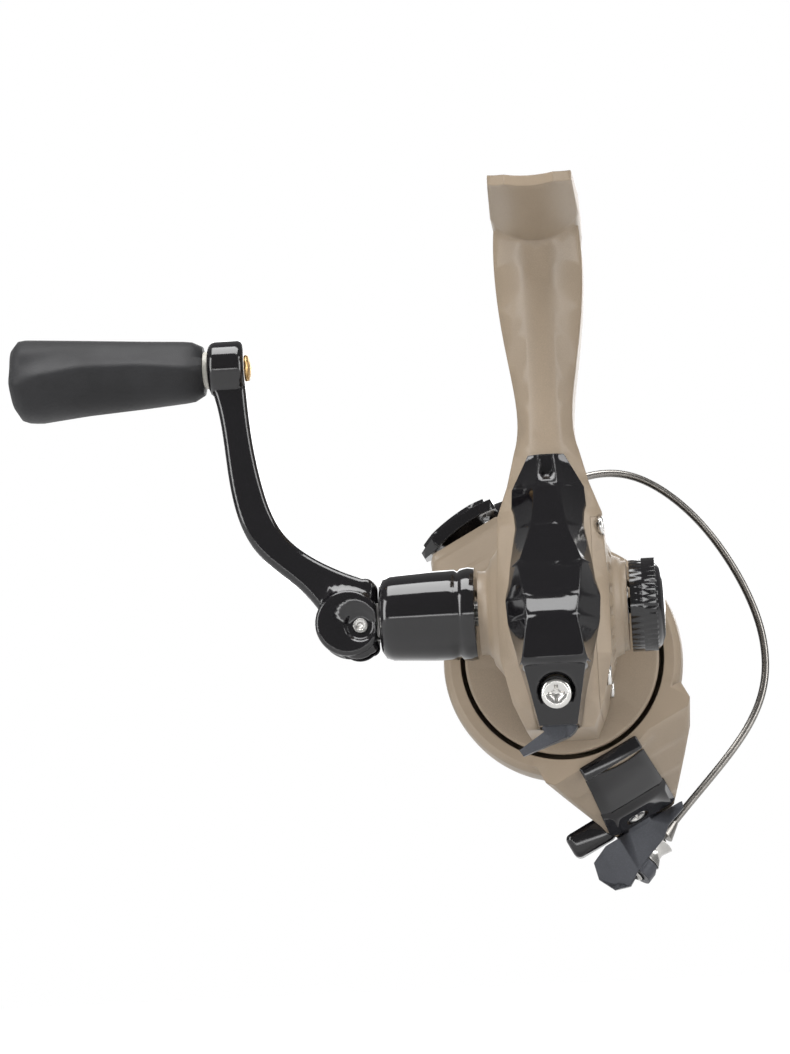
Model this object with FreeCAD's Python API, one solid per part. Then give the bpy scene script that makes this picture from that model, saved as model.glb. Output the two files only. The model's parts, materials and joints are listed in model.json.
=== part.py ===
"""Spinning reel, fixed spool, about 2500 size: every piece as its own solid.

Frame, millimetres: the origin is the middle of the foot's saddle, where the rod
seat bears.  +Z points up into the rod, +Y forward to the rod's tip, and +X to
the right of someone who looks forward along the rod.  The crank is on -X.
"""
import FreeCAD, Part
import math
import os

Vec = FreeCAD.Vector

# ---- overall sizes -------------------------------------------------------
HANDLE_DROP = 72.5        # saddle down to the handle axis
AXIS_OFFSET = 7.0         # spool axis below the handle axis
FOOT_LENGTH = 64.0
FOOT_TIP_WIDTH = 14.6
FOOT_ROOT_WIDTH = 16.0
FOOT_TIP_THICK = 1.4
FOOT_ROOT_THICK = 6.5
SADDLE_R = 22.8           # hollow across the foot's top
CASE_HALF = 9.8           # half the gear case's width
CASE_WALL = 1.4
SPLIT_X = 7.2             # where the side cover meets the frame
FLANGE_R = 18.0
FLANGE_Y = 17.0           # back of the front flange
FLANGE_THICK = 3.0

# ---- shafts, gears and bearings ------------------------------------------
SHAFT_R = 1.5             # main shaft
RUN = 0.06                # running clearance on a radius
GAP = 0.3                 # free clearance between pieces
MODULE = 0.55
PINION_TEETH = 10
GEAR_TEETH = 52
OSC_MODULE = 0.7
OSC_DRIVER_TEETH = 13
OSC_TEETH = 22
DRIVE_SHAFT_R = 3.2
HANDLE_SHAFT_R = 2.2
BEARING_R = 6.5
BEARING_WIDTH = 4.0
PINION_JOURNAL_R = 3.0
CLUTCH_R = 9.4
CLUTCH_WIDTH = 7.0
HALF_STROKE = 5.5         # spool travel each way

# ---- rotor, bail and spool -----------------------------------------------
ROTOR_TURN = -28.0        # rest turn about +Y
ROTOR_R = 22.4
RIM_GAP = 0.9             # between the flange and the rotor's rim
STEP_Y = 31.5             # front face of the rotor's skirt
DRUM_R = 17.0
DRUM_FRONT_Y = 46.0
PIVOT_Y = 47.0            # bail pivots
PIVOT_T = -3.3            # the bail axis passes beside the spool axis
ARM_END_U = 32.6          # outer face of each arm's end
PIVOT_R = 2.0
WIRE_R = 0.75             # bail wire
BAIL_TILT = 75.0          # the closed bail leans forward from this, degrees
SPOOL_R = 20.6
SKIRT_R = 19.6
SKIRT_WALL = 1.6
ARBOR_R = 14.5
SPOOL_REAR_Y = 38.0
ARBOR_REAR_Y = 52.0
ARBOR_FRONT_Y = 64.0
LIP_THICK = 2.2
DRAG_R = 10.0
KNOB_FRONT_Y = 78.0

# ---- crank handle --------------------------------------------------------
SLEEVE_START = 14.4
SLEEVE_END = 31.7
SLEEVE_R = 8.3
SLEEVE_END_R = 7.7
ELBOW_X = 35.3            # fold pin, left of the middle
ELBOW_Z = -1.4            # fold pin, from the handle axis
ARM_THICK = 6.4
ARM_REACH = 47.6          # knob axis above the handle axis
KNOB_BOSS_R = 5.2
KNOB_START = 62.4
KNOB_LENGTH = 35.2
SHANK_R = 1.9
CAP_START = 13.4
CAP_END = 19.6
CAP_R = 8.4

# ---- worked out ----------------------------------------------------------
HANDLE_Z = -HANDLE_DROP
SPOOL_Z = HANDLE_Z - AXIS_OFFSET
PINION_R = MODULE * PINION_TEETH / 2
RATIO = GEAR_TEETH / PINION_TEETH
MESH_Y = RATIO * PINION_R
GEAR_TIP_X = PINION_R - MODULE
GEAR_ROOT_X = PINION_R + 1.25 * MODULE
GEAR_R = math.hypot(MESH_Y, AXIS_OFFSET) + 1.3
GEAR_INNER_R = math.hypot(MESH_Y, AXIS_OFFSET) - 1.1
CAVITY_R = GEAR_R + 0.5
OSC_DISTANCE = OSC_MODULE * (OSC_DRIVER_TEETH + OSC_TEETH) / 2
OSC_ANGLE = math.radians(225.0)      # from +Y towards +Z
OSC_Y = OSC_DISTANCE * math.cos(OSC_ANGLE)
OSC_Z = HANDLE_Z + OSC_DISTANCE * math.sin(OSC_ANGLE)
OSC_X0 = -5.9
OSC_X1 = -3.6
BEARING_X = 8.4
FLANGE_FRONT = FLANGE_Y + FLANGE_THICK
BEARING_Y = FLANGE_Y + 1.2
CLUTCH_Y = BEARING_Y + BEARING_WIDTH + 0.2
CLUTCH_END = CLUTCH_Y + CLUTCH_WIDTH
PLATE_Y = CLUTCH_END + 3.2           # rotor's hub plate
PLATE_END = PLATE_Y + 2.6
RIM_Y = FLANGE_FRONT - 1.6           # rear edge of the rotor
RIM_INNER_R = FLANGE_R + RIM_GAP
LIP_Y = ARBOR_FRONT_Y


# ---- helpers -------------------------------------------------------------
def x_cyl(radius, x0, x1, y=0.0, z=HANDLE_Z):
    return Part.makeCylinder(radius, x1 - x0, Vec(x0, y, z), Vec(1, 0, 0))


def y_cyl(radius, y0, y1, x=0.0, z=SPOOL_Z):
    return Part.makeCylinder(radius, y1 - y0, Vec(x, y0, z), Vec(0, 1, 0))


def x_ring(outer, inner, x0, x1, y=0.0, z=HANDLE_Z):
    return x_cyl(outer, x0, x1, y, z).cut(x_cyl(inner, x0 - 1, x1 + 1, y, z))


def y_ring(outer, inner, y0, y1, x=0.0, z=SPOOL_Z):
    return y_cyl(outer, y0, y1, x, z).cut(y_cyl(inner, y0 - 1, y1 + 1, x, z))


def box(x0, x1, y0, y1, z0, z1):
    return Part.makeBox(x1 - x0, y1 - y0, z1 - z0, Vec(x0, y0, z0))


def face(points):
    return Part.Face(Part.makePolygon(list(points) + [points[0]]))


def prism(points, direction):
    return face(points).extrude(direction)


def turned_y(profile, z=SPOOL_Z):
    """Turn (radius, y) points about the spool axis."""
    points = [Vec(r, y, z) for r, y in profile]
    return face(points).revolve(Vec(0, 0, z), Vec(0, 1, 0), 360)


def turned_x(profile, z=HANDLE_Z):
    """Turn (radius, x) points about the handle axis."""
    points = [Vec(x, 0, z + r) for r, x in profile]
    return face(points).revolve(Vec(0, 0, z), Vec(1, 0, 0), 360)


def loft(sections, ruled=True):
    wires = [Part.makePolygon(list(s) + [s[0]]) for s in sections]
    return Part.makeLoft(wires, True, ruled)


def fuse(shapes):
    whole = shapes[0].multiFuse(shapes[1:]) if len(shapes) > 1 else shapes[0]
    return whole.removeSplitter()


def group(shapes):
    return Part.makeCompound(shapes)


def lerp(a, b, f):
    return a + (b - a) * f


def polar_copies(shape, count, centre, axis, start=0.0):
    copies = []
    for i in range(count):
        piece = shape.copy()
        piece.rotate(centre, axis, start + 360.0 * i / count)
        copies.append(piece)
    return copies


def spur_outline(teeth, module, thin, turn=0.0, root=1.2, tip=0.95):
    """(a, b) points of a spur gear; thin is the tooth's share of the pitch."""
    pitch_r = module * teeth / 2
    root_r = pitch_r - root * module
    tip_r = pitch_r + tip * module
    step = 2 * math.pi / teeth
    half = step * thin / 2
    points = []
    for i in range(teeth):
        middle = turn + i * step
        for radius, spread in ((root_r, -1.5), (tip_r, -0.5), (tip_r, 0.5), (root_r, 1.5)):
            angle = middle + spread * half
            points.append((radius * math.cos(angle), radius * math.sin(angle)))
    return points


def star_outline(outer, inner, count):
    """Outline with count shallow V notches, for knurled grips."""
    points = []
    for i in range(2 * count):
        radius = outer if i % 2 else inner
        angle = math.pi * i / count
        points.append((radius * math.cos(angle), radius * math.sin(angle)))
    return points


def x_prism(outline, x0, x1, y=0.0, z=HANDLE_Z):
    points = [Vec(x0, y + a, z + b) for a, b in outline]
    return prism(points, Vec(x1 - x0, 0, 0))


def y_prism(outline, y0, y1, x=0.0, z=SPOOL_Z):
    points = [Vec(x + a, y0, z + b) for a, b in outline]
    return prism(points, Vec(0, y1 - y0, 0))


def hexagon(flats):
    radius = flats / math.sqrt(3)
    return [(radius * math.cos(math.pi * i / 3), radius * math.sin(math.pi * i / 3))
            for i in range(6)]


def cross_slot(length, width, depth, base, axis, side):
    """Cutter for a cross-head recess that starts at base and goes down along -axis."""
    across = axis.cross(side)
    arms = []
    for along, over in ((side, across), (across, side)):
        corner = base - along * (length / 2) - over * (width / 2)
        points = [corner, corner + along * length, corner + along * length + over * width,
                  corner + over * width]
        arms.append(prism(points, axis * -depth))
    return fuse(arms)


def screw(head_r, head_h, shank_r, shank_l, base, axis, side, recess=0.55):
    """Pan-head screw: base is under the head, axis points out of the head."""
    head = Part.makeCylinder(head_r, head_h, base, axis)
    rim = [e for e in head.Edges if abs((e.CenterOfMass - base).dot(axis) - head_h) < 1e-6]
    head = head.makeFillet(head_h * 0.45, rim)
    shank = Part.makeCylinder(shank_r, shank_l, base - axis * shank_l, axis)
    slot = cross_slot(head_r * 1.1, head_r * 0.24, head_h * recess, base + axis * head_h,
                      axis, side)
    return fuse([head, shank]).cut(slot)


def bearing(outer, inner, start, width, make_ring, axis_z):
    """Shielded ball bearing as one ring with a shallow shield groove each side."""
    ring = make_ring(outer, inner, start, start + width, z=axis_z)
    groove = (outer + inner) / 2 + (outer - inner) * 0.22, (outer + inner) / 2 - (outer - inner) * 0.22
    first = make_ring(groove[0], groove[1], start - 1, start + 0.35, z=axis_z)
    last = make_ring(groove[0], groove[1], start + width - 0.35, start + width + 1, z=axis_z)
    return ring.cut([first, last])


def on_rotor(shape):
    """Place a shape made with the rotor's axis at z = 0 and arm A along -z."""
    placed = shape.copy()
    placed.translate(Vec(0, 0, SPOOL_Z))
    placed.rotate(Vec(0, 0, SPOOL_Z), Vec(0, 1, 0), ROTOR_TURN)
    return placed


def rotor_point(t, u, y):
    """A point beside (t) and along (u) the bail axis, before on_rotor."""
    return Vec(t, y, -u)


# ---- the fixed body ------------------------------------------------------
CASE_TOP = 15.5           # heights above the handle axis
CASE_LEVELS = (
    # height, half width, flat half width, back y, front y, bevel
    (-22.6, 6.0, 4.0, -15.0, 17.0, 2.0),
    (-18.0, 8.0, 5.0, -18.5, 17.0, 3.0),
    (-10.0, 9.8, 5.5, -20.5, 17.0, 4.0),
    (3.0, 9.8, 5.5, -19.5, 17.0, 4.0),
    (CASE_TOP, 9.3, 4.0, -16.5, 12.5, 4.0),
    (21.0, 7.3, 3.0, -15.2, 9.0, 3.5),
)
STEM_LEVELS = (
    # share of the stem's height, half width, flat half width, back y, front y, bevel
    (0.0, 9.3, 4.0, -16.5, 12.5, 4.0),
    (0.11, 7.3, 3.0, -15.2, 9.0, 3.5),
    (0.23, 5.8, 2.6, -14.0, 6.6, 3.2),
    (0.37, 4.95, 2.35, -13.0, 5.5, 3.0),
    (0.58, 6.3, 2.35, -11.3, 6.0, 3.6),
    (0.78, 7.6, 2.35, -9.8, 7.2, 4.2),
    (0.92, 8.0, 2.5, -9.2, 8.6, 4.2),
    (1.06, 7.7, 3.0, -10.0, 10.5, 4.0),
)
COVER_LEVELS = (
    # height, half width, panel half width, edge y, panel y
    (25.9, 3.2, 1.4, -15.0, -15.9),
    (20.0, 6.4, 2.0, -13.8, -18.4),
    (12.8, 6.9, 3.0, -14.4, -20.8),
    (5.8, 7.7, 5.5, -15.6, -23.0),
    (-0.1, 8.35, 4.9, -17.4, -25.4),
    (-4.0, 8.1, 4.3, -18.2, -27.4),
    (-11.8, 6.5, 5.6, -18.8, -28.4),
    (-12.7, 6.2, 5.3, -18.6, -26.9),
    (-22.6, 3.8, 3.3, -16.0, -22.2),
)
REAR_SCREW_DROP = 17.2    # rear screw below the handle axis
STEM_TOP = -FOOT_ROOT_THICK


def octagon(z, half, flat, back, front, bevel):
    """Eight-sided section: a flat back with a bevel each side."""
    return [Vec(-flat, back, z), Vec(flat, back, z), Vec(half, back + bevel, z),
            Vec(half, front - bevel * 0.7, z), Vec(flat, front, z), Vec(-flat, front, z),
            Vec(-half, front - bevel * 0.7, z), Vec(-half, back + bevel, z)]


def case_loft(inset=0.0):
    sections = []
    last = len(CASE_LEVELS) - 1
    for i, (up, half, flat, back, front, bevel) in enumerate(CASE_LEVELS):
        lift = inset if i == 0 else (-inset if i == last else 0.0)
        share = half / 9.8 * CASE_HALF
        sections.append(octagon(HANDLE_Z + up + lift, share - inset, flat - inset * 0.4,
                                back + inset, front, bevel))
    return loft(sections)


def stem():
    bottom = HANDLE_Z + CASE_TOP
    sections = []
    for share, half, flat, back, front, bevel in STEM_LEVELS:
        if share < 0.2:
            half = half / 9.8 * CASE_HALF
        sections.append(octagon(lerp(bottom, STEM_TOP, share), half, flat, back, front, bevel))
    lower = loft(sections[:3])
    upper = loft(sections[2:], ruled=False)
    return lower, upper


def foot_section(y, half, thick, flat_under):
    """Curved band across the foot: hollow on top, flatter underneath."""
    sag = SADDLE_R - math.sqrt(SADDLE_R ** 2 - half ** 2)
    edge = sag - FOOT_TIP_THICK
    top = Part.Arc(Vec(-half, y, sag), Vec(0, y, 0), Vec(half, y, sag)).toShape()
    right = Part.LineSegment(Vec(half, y, sag), Vec(half, y, edge - flat_under)).toShape()
    under = Part.Arc(Vec(half, y, edge - flat_under), Vec(0, y, -thick),
                     Vec(-half, y, edge - flat_under)).toShape()
    left = Part.LineSegment(Vec(-half, y, edge - flat_under), Vec(-half, y, sag)).toShape()
    return Part.Wire([top, right, under, left])


def foot():
    tip = FOOT_LENGTH / 2
    root = 10.0
    tabs = []
    for side in (-1, 1):
        outer = foot_section(side * tip, FOOT_TIP_WIDTH / 2, FOOT_TIP_THICK + 0.5, 0.0)
        inner = foot_section(side * root, FOOT_ROOT_WIDTH / 2, FOOT_ROOT_THICK, 2.2)
        tabs.append(Part.makeLoft([outer, inner], True, True))
    middle = Part.makeLoft([foot_section(-root, FOOT_ROOT_WIDTH / 2, FOOT_ROOT_THICK, 2.2),
                            foot_section(root, FOOT_ROOT_WIDTH / 2, FOOT_ROOT_THICK, 2.2)],
                           True, True)
    corner = 3.0
    plate = box(-FOOT_ROOT_WIDTH, FOOT_ROOT_WIDTH, -tip, tip, -20, 10)
    half_tip = FOOT_TIP_WIDTH / 2
    outline = [(-half_tip + corner, -tip), (half_tip - corner, -tip), (half_tip, -tip + corner),
               (FOOT_ROOT_WIDTH / 2 + 1, -root), (FOOT_ROOT_WIDTH / 2 + 1, root),
               (half_tip, tip - corner), (half_tip - corner, tip), (-half_tip + corner, tip),
               (-half_tip, tip - corner), (-FOOT_ROOT_WIDTH / 2 - 1, root),
               (-FOOT_ROOT_WIDTH / 2 - 1, -root), (-half_tip, -tip + corner)]
    plan = prism([Vec(a, b, -20) for a, b in outline], Vec(0, 0, 30))
    return fuse([tabs[0], middle, tabs[1]]).common(plan).common(plate)


def case_cavity():
    """Room inside the case for the gears, slider and shafts."""
    gear_room = x_cyl(CAVITY_R, GEAR_TIP_X - 0.6, SPLIT_X)
    slider_room = box(OSC_X0 - 0.5, SPLIT_X, -18.9, 7.0, HANDLE_Z - 20.5, HANDLE_Z + 5.6)
    hub_room = x_cyl(5.6, OSC_X0 - 0.5, SPLIT_X)
    osc_room = x_cyl(OSC_MODULE * (OSC_TEETH / 2 + 1) + 0.5, OSC_X0 - 0.5, OSC_X1 + 1, OSC_Y, OSC_Z)
    pinion_room = y_cyl(PINION_R + MODULE + 0.8, 6.0, FLANGE_Y)
    room = fuse([gear_room, slider_room, hub_room, osc_room, pinion_room])
    return room.common(case_loft(CASE_WALL))


def side_boss(side):
    """Stepped round boss that holds a gear bearing; side is -1 or 1."""
    edge = CASE_HALF - 0.4
    profile = [(0, 5.0), (12.0, 5.0), (12.0, edge), (11.2, edge + 0.4), (10.1, edge + 0.9),
               (9.3, edge + 1.0), (8.6, edge + 2.5), (8.1, edge + 2.6), (8.1, edge + 3.5),
               (0, edge + 3.5)]
    if side < 0:
        profile = [(0, 5.0), (12.4, 5.0), (12.4, edge), (11.0, edge + 0.9), (9.6, edge + 2.0),
                   (8.4, edge + 2.4), (7.6, edge + 3.0), (7.6, edge + 4.4), (0, edge + 4.4)]
    return turned_x([(r, side * x) for r, x in profile])


def boss_pockets(side):
    """Ring of small square pockets round the boss."""
    edge = CASE_HALF - 0.4
    pocket = box(side * (edge + 0.55) - 0.5, side * (edge + 0.55) + 0.9, -0.8, 0.8,
                 HANDLE_Z + 9.5, HANDLE_Z + 10.9)
    return polar_copies(pocket, 16, Vec(0, 0, HANDLE_Z), Vec(1, 0, 0), 11.25)


def front_boss():
    """Flange, and the hollow neck that holds the pinion bearing and the clutch."""
    flange = y_cyl(FLANGE_R, FLANGE_Y, FLANGE_FRONT)
    flange = flange.makeFillet(0.6, [e for e in flange.Edges if e.Closed and e.Curve.TypeId ==
                                     "Part::GeomCircle"])
    neck = y_cyl(CLUTCH_R + 2.0, FLANGE_FRONT - 1, CLUTCH_END)
    return [flange, neck]


def front_bores():
    bearing_bore = y_cyl(BEARING_R, BEARING_Y, CLUTCH_Y + 0.1)
    clutch_bore = y_cyl(CLUTCH_R, CLUTCH_Y, CLUTCH_END + 1)
    pinion_hole = y_cyl(PINION_R + MODULE + 0.8, FLANGE_Y - 1, BEARING_Y + 0.1)
    return [bearing_bore, clutch_bore, pinion_hole]


def case_bores():
    """Holes for the drive shaft, bearings, rear bush, switch shaft and screws."""
    shaft_room = x_cyl(DRIVE_SHAFT_R + 0.6, -CASE_HALF - 6, CASE_HALF + 6)
    left_seat = x_cyl(BEARING_R, -BEARING_X - BEARING_WIDTH, -BEARING_X)
    right_seat = x_cyl(BEARING_R, BEARING_X, BEARING_X + BEARING_WIDTH)
    left_way = x_cyl(DRIVE_SHAFT_R + 1.6, -BEARING_X - 0.1, OSC_X0)
    right_way = x_cyl(DRIVE_SHAFT_R + 1.8, SPLIT_X - 0.1, BEARING_X + 0.1)
    return [shaft_room, left_seat, right_seat, left_way, right_way]


BUSH_Y0 = 7.4
BUSH_Y1 = 10.2
BUSH_R = 3.4
GUIDE_R = 1.0
GUIDE_Z = SPOOL_Z - 7.2
GUIDE_X = -1.2
SWITCH_Y0 = -17.2
SWITCH_Y1 = -12.4
SWITCH_Z = HANDLE_Z - 21.2
SWITCH_HUB_R = 3.4
SWITCH_SHAFT_R = 1.2


def bush_post():
    """Web that carries the pinion's rear bush and the guide rod's front end."""
    web = box(-5.2, GEAR_TIP_X - 0.9, BUSH_Y0, BUSH_Y1, HANDLE_Z - 20.6, HANDLE_Z - 1.5)
    round_end = y_cyl(BUSH_R + 1.3, BUSH_Y0, BUSH_Y1).common(
        box(-9, GEAR_TIP_X - 0.9, 0, 20, SPOOL_Z - 9, SPOOL_Z + 9))
    return web.fuse(round_end).common(case_loft(CASE_WALL - 0.6))


def case_whole():
    lower, upper = stem()
    shapes = [case_loft(), lower, upper, foot()] + front_boss()
    shapes += [side_boss(-1), side_boss(1)]
    return fuse(shapes)


def side_window():
    """Space on the right that the side cover fills."""
    return box(SPLIT_X, CASE_HALF + 9, -19.0, FLANGE_Y - 0.6, HANDLE_Z - 20.0,
               HANDLE_Z + CASE_TOP - 1.0)


def screw_places():
    """Side cover screws: (y, height above the handle axis)."""
    return [(-13.0, 12.9), (-13.8, -13.6), (14.4, -13.6)]


def side_screw_cutter(y, up):
    hole = x_cyl(0.95, 3.6, CASE_HALF + 3, y, HANDLE_Z + up)
    seat = x_cyl(1.9, CASE_HALF - 1.3, CASE_HALF + 3, y, HANDLE_Z + up)
    return [hole, seat]


def rear_screw_axis():
    return Vec(0, -1, -0.12).normalize()


def make_body_frame(whole, cavity):
    pillars = []
    for y, up in screw_places():
        pillars.append(x_cyl(2.4, 3.0, SPLIT_X, y, HANDLE_Z + up).common(case_loft(0.5)))
    frame = whole.cut(cavity).fuse([bush_post()] + pillars)
    keep = x_cyl(CAVITY_R, GEAR_TIP_X - 0.4, SPLIT_X + 0.1)
    frame = frame.cut([side_window(), keep] + case_bores() + front_bores())
    holes = [y_cyl(BUSH_R, BUSH_Y0 - 1, BUSH_Y1 + 1), y_cyl(GUIDE_R, -18.4, BUSH_Y1 - 0.6,
                                                             GUIDE_X, GUIDE_Z)]
    for y, up in screw_places():
        holes += side_screw_cutter(y, up)
    switch_room = y_cyl(SWITCH_HUB_R + 0.3, SWITCH_Y0 - 4, SWITCH_Y1 + 0.3, 0, SWITCH_Z)
    switch_hole = y_cyl(SWITCH_SHAFT_R + RUN, SWITCH_Y1 - 1, -4.0, 0, SWITCH_Z)
    axis = rear_screw_axis()
    middle = Vec(0, -24.0, HANDLE_Z - REAR_SCREW_DROP)
    screw_hole = Part.makeCylinder(1.3, 14, middle - axis * 10, axis)
    holes += [switch_room, switch_hole, screw_hole]
    frame = frame.cut(holes)
    return frame


def make_side_cover(whole):
    plate = whole.common(side_window())
    cutters = case_bores() + boss_pockets(1)
    for y, up in screw_places():
        cutters += side_screw_cutter(y, up)
    plate = plate.cut(cutters)
    return plate


def cover_outer(inset=0.0, depth=4.0):
    sections = []
    for up, half, panel, edge_y, panel_y in COVER_LEVELS:
        half = max(half - inset, 0.2)
        panel = max(panel - inset * 0.6, 0.1)
        z = HANDLE_Z + up
        sections.append([Vec(-half, edge_y + inset, z), Vec(-panel, panel_y + inset, z),
                         Vec(panel, panel_y + inset, z), Vec(half, edge_y + inset, z),
                         Vec(half, depth, z), Vec(-half, depth, z)])
    return loft(sections)


def make_rear_cover(whole):
    shell = cover_outer()
    hollow = cover_outer(1.3).common(box(-20, 20, -40, 20, HANDLE_Z - 20.6, HANDLE_Z + 19.5))
    axis = rear_screw_axis()
    middle = Vec(0, -24.0, HANDLE_Z - REAR_SCREW_DROP)
    post = Part.makeCylinder(2.9, 14, middle - axis * 11, axis)
    shell = shell.cut(hollow).fuse(post.common(cover_outer()))
    dish = Part.makeCone(3.1, 4.2, 3, middle + axis * 0.1, axis)
    slot = box(-1.0, 1.0, -20.0, -15.9, HANDLE_Z + 22.6, HANDLE_Z + 27.0).fuse(
        y_cyl(1.0, -20.0, -15.9, 0, HANDLE_Z + 22.6))
    hole = Part.makeCylinder(1.45, 20, middle - axis * 12, axis)
    room = y_cyl(SWITCH_HUB_R + 0.3, SWITCH_Y0 - 1.5, SWITCH_Y1 + 0.3, 0, SWITCH_Z)
    return shell.cut([whole, dish, slot, hole, room])


def make_rear_cover_screw():
    axis = rear_screw_axis()
    middle = Vec(0, -24.0, HANDLE_Z - REAR_SCREW_DROP)
    return screw(2.7, 1.5, 1.25, 7.0, middle + axis * 0.1, axis, Vec(1, 0, 0))


def make_side_screws():
    pieces = []
    for y, up in screw_places():
        base = Vec(CASE_HALF - 1.3, y, HANDLE_Z + up)
        pieces.append(screw(1.8, 1.0, 0.9, 4.6, base, Vec(1, 0, 0), Vec(0, 1, 0)))
    return group(pieces)


# ---- bearings, clutch and the small fixed pieces -------------------------
ROLLER_R = 0.95
CLUTCH_SLEEVE_R = 5.0
CLUTCH_PLATE = 1.0


def make_gear_bearings():
    starts = (-BEARING_X - BEARING_WIDTH, BEARING_X)
    return group([bearing(BEARING_R, DRIVE_SHAFT_R + RUN, start, BEARING_WIDTH, x_ring, HANDLE_Z)
                  for start in starts])


def make_pinion_bush():
    return y_ring(BUSH_R, 1.9 + RUN, BUSH_Y0, BUSH_Y1)


def make_clutch_ring():
    """Outer race with cam pockets for the rollers."""
    ring = y_ring(CLUTCH_R, CLUTCH_SLEEVE_R + 2 * ROLLER_R + 0.1, CLUTCH_Y, CLUTCH_END)
    pocket = y_cyl(1.3, CLUTCH_Y + 1, CLUTCH_END + 1, CLUTCH_SLEEVE_R + 2 * ROLLER_R - 0.4)
    return ring.cut(polar_copies(pocket, 6, Vec(0, 0, SPOOL_Z), Vec(0, 1, 0), 18))


def make_clutch_rollers():
    roller = y_cyl(ROLLER_R, CLUTCH_Y + 1.2, CLUTCH_END - 0.4, CLUTCH_SLEEVE_R + ROLLER_R + RUN)
    return group(polar_copies(roller, 6, Vec(0, 0, SPOOL_Z), Vec(0, 1, 0)))


def clutch_screw_places():
    radius = CLUTCH_R + 1.0
    return [(radius * math.cos(a), SPOOL_Z + radius * math.sin(a))
            for a in (math.pi / 2, math.pi * 7 / 6, math.pi * 11 / 6)]


def make_clutch_plate():
    plate = y_ring(CLUTCH_R + 2.0, CLUTCH_SLEEVE_R + 0.8, CLUTCH_END, CLUTCH_END + CLUTCH_PLATE)
    return plate.cut([y_cyl(0.6, CLUTCH_END - 1, CLUTCH_END + 2, x, z)
                      for x, z in clutch_screw_places()])


def make_clutch_screws():
    return group([screw(1.0, 0.7, 0.55, 4.0, Vec(x, CLUTCH_END + CLUTCH_PLATE, z), Vec(0, 1, 0),
                        Vec(1, 0, 0)) for x, z in clutch_screw_places()])


def clutch_screw_holes():
    return [y_cyl(0.6, CLUTCH_END - 4.2, CLUTCH_END + 1, x, z) for x, z in clutch_screw_places()]


BRAKE_Y = FLANGE_FRONT + 0.6
BRAKE_R = CLUTCH_R + 2.0


def make_brake_ring():
    """Rubber ring on the neck that steadies the rotor while the bail is open."""
    return y_ring(BRAKE_R + 0.9, BRAKE_R, BRAKE_Y, BRAKE_Y + 2.2)


def make_guide_rod():
    return y_cyl(GUIDE_R, -18.2, BUSH_Y1 - 0.6, GUIDE_X, GUIDE_Z)


def make_switch():
    """Anti-reverse lever: hub, shaft and a tapered finger that leans left."""
    hub = y_cyl(SWITCH_HUB_R, SWITCH_Y0, SWITCH_Y1, 0, SWITCH_Z)
    shaft = y_cyl(SWITCH_SHAFT_R, SWITCH_Y1 - 1, -6.0, 0, SWITCH_Z)
    wide = [Vec(-2.6, SWITCH_Y0, SWITCH_Z - 2.0), Vec(1.4, SWITCH_Y0, SWITCH_Z - 3.1),
            Vec(1.4, SWITCH_Y1 + 0.4, SWITCH_Z - 3.1), Vec(-2.6, SWITCH_Y1 + 0.4, SWITCH_Z - 2.0)]
    narrow = [Vec(-7.3, SWITCH_Y0 + 1.3, SWITCH_Z - 5.0), Vec(-6.6, SWITCH_Y0 + 1.3, SWITCH_Z - 6.1),
              Vec(-6.6, SWITCH_Y1 - 1.6, SWITCH_Z - 6.1), Vec(-7.3, SWITCH_Y1 - 1.6, SWITCH_Z - 5.0)]
    return fuse([hub, shaft, loft([wide, narrow])])


# ---- the crank -----------------------------------------------------------
GEAR_BACK_X = GEAR_ROOT_X + 2.9
TOOTH_HALF = (0.15, 0.30)            # at the tip and at the root
SHAFT_END = BEARING_X + BEARING_WIDTH + 0.6
SLEEVE_BORE_R = HANDLE_SHAFT_R + 0.15
HEX_BORE_R = HANDLE_SHAFT_R + 0.1


def face_tooth():
    """One tooth of the face gear, straight and along Y at the mesh."""
    low, high = GEAR_TIP_X, GEAR_ROOT_X + 0.1
    y0 = math.sqrt(GEAR_INNER_R ** 2 - AXIS_OFFSET ** 2)
    y1 = math.sqrt((GEAR_R - 0.15) ** 2 - AXIS_OFFSET ** 2)
    tip, root = TOOTH_HALF
    section = [Vec(low, y0, SPOOL_Z - tip), Vec(low, y0, SPOOL_Z + tip),
               Vec(high, y0, SPOOL_Z + root), Vec(high, y0, SPOOL_Z - root)]
    return prism(section, Vec(0, y1 - y0, 0))


def make_drive_gear():
    profile = [(HEX_BORE_R, -SHAFT_END), (DRIVE_SHAFT_R, -SHAFT_END), (DRIVE_SHAFT_R, OSC_X1 + 0.4),
               (DRIVE_SHAFT_R, GEAR_ROOT_X + 0.9), (GEAR_INNER_R - 0.6, GEAR_ROOT_X + 0.9),
               (GEAR_INNER_R - 0.6, GEAR_ROOT_X), (GEAR_R, GEAR_ROOT_X), (GEAR_R, GEAR_BACK_X - 0.6),
               (GEAR_R - 0.6, GEAR_BACK_X), (DRIVE_SHAFT_R + 1.2, GEAR_BACK_X),
               (DRIVE_SHAFT_R + 1.2, BEARING_X - 0.1), (DRIVE_SHAFT_R, BEARING_X - 0.1),
               (DRIVE_SHAFT_R, SHAFT_END), (HEX_BORE_R, SHAFT_END)]
    teeth = polar_copies(face_tooth(), GEAR_TEETH, Vec(0, 0, HANDLE_Z), Vec(1, 0, 0))
    return fuse([turned_x(profile)] + teeth)


def make_osc_driver():
    outline = spur_outline(OSC_DRIVER_TEETH, OSC_MODULE, 0.40, OSC_ANGLE)
    return x_prism(outline, OSC_X0, OSC_X1).cut(x_cyl(DRIVE_SHAFT_R, OSC_X0 - 1, OSC_X1 + 1))


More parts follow.
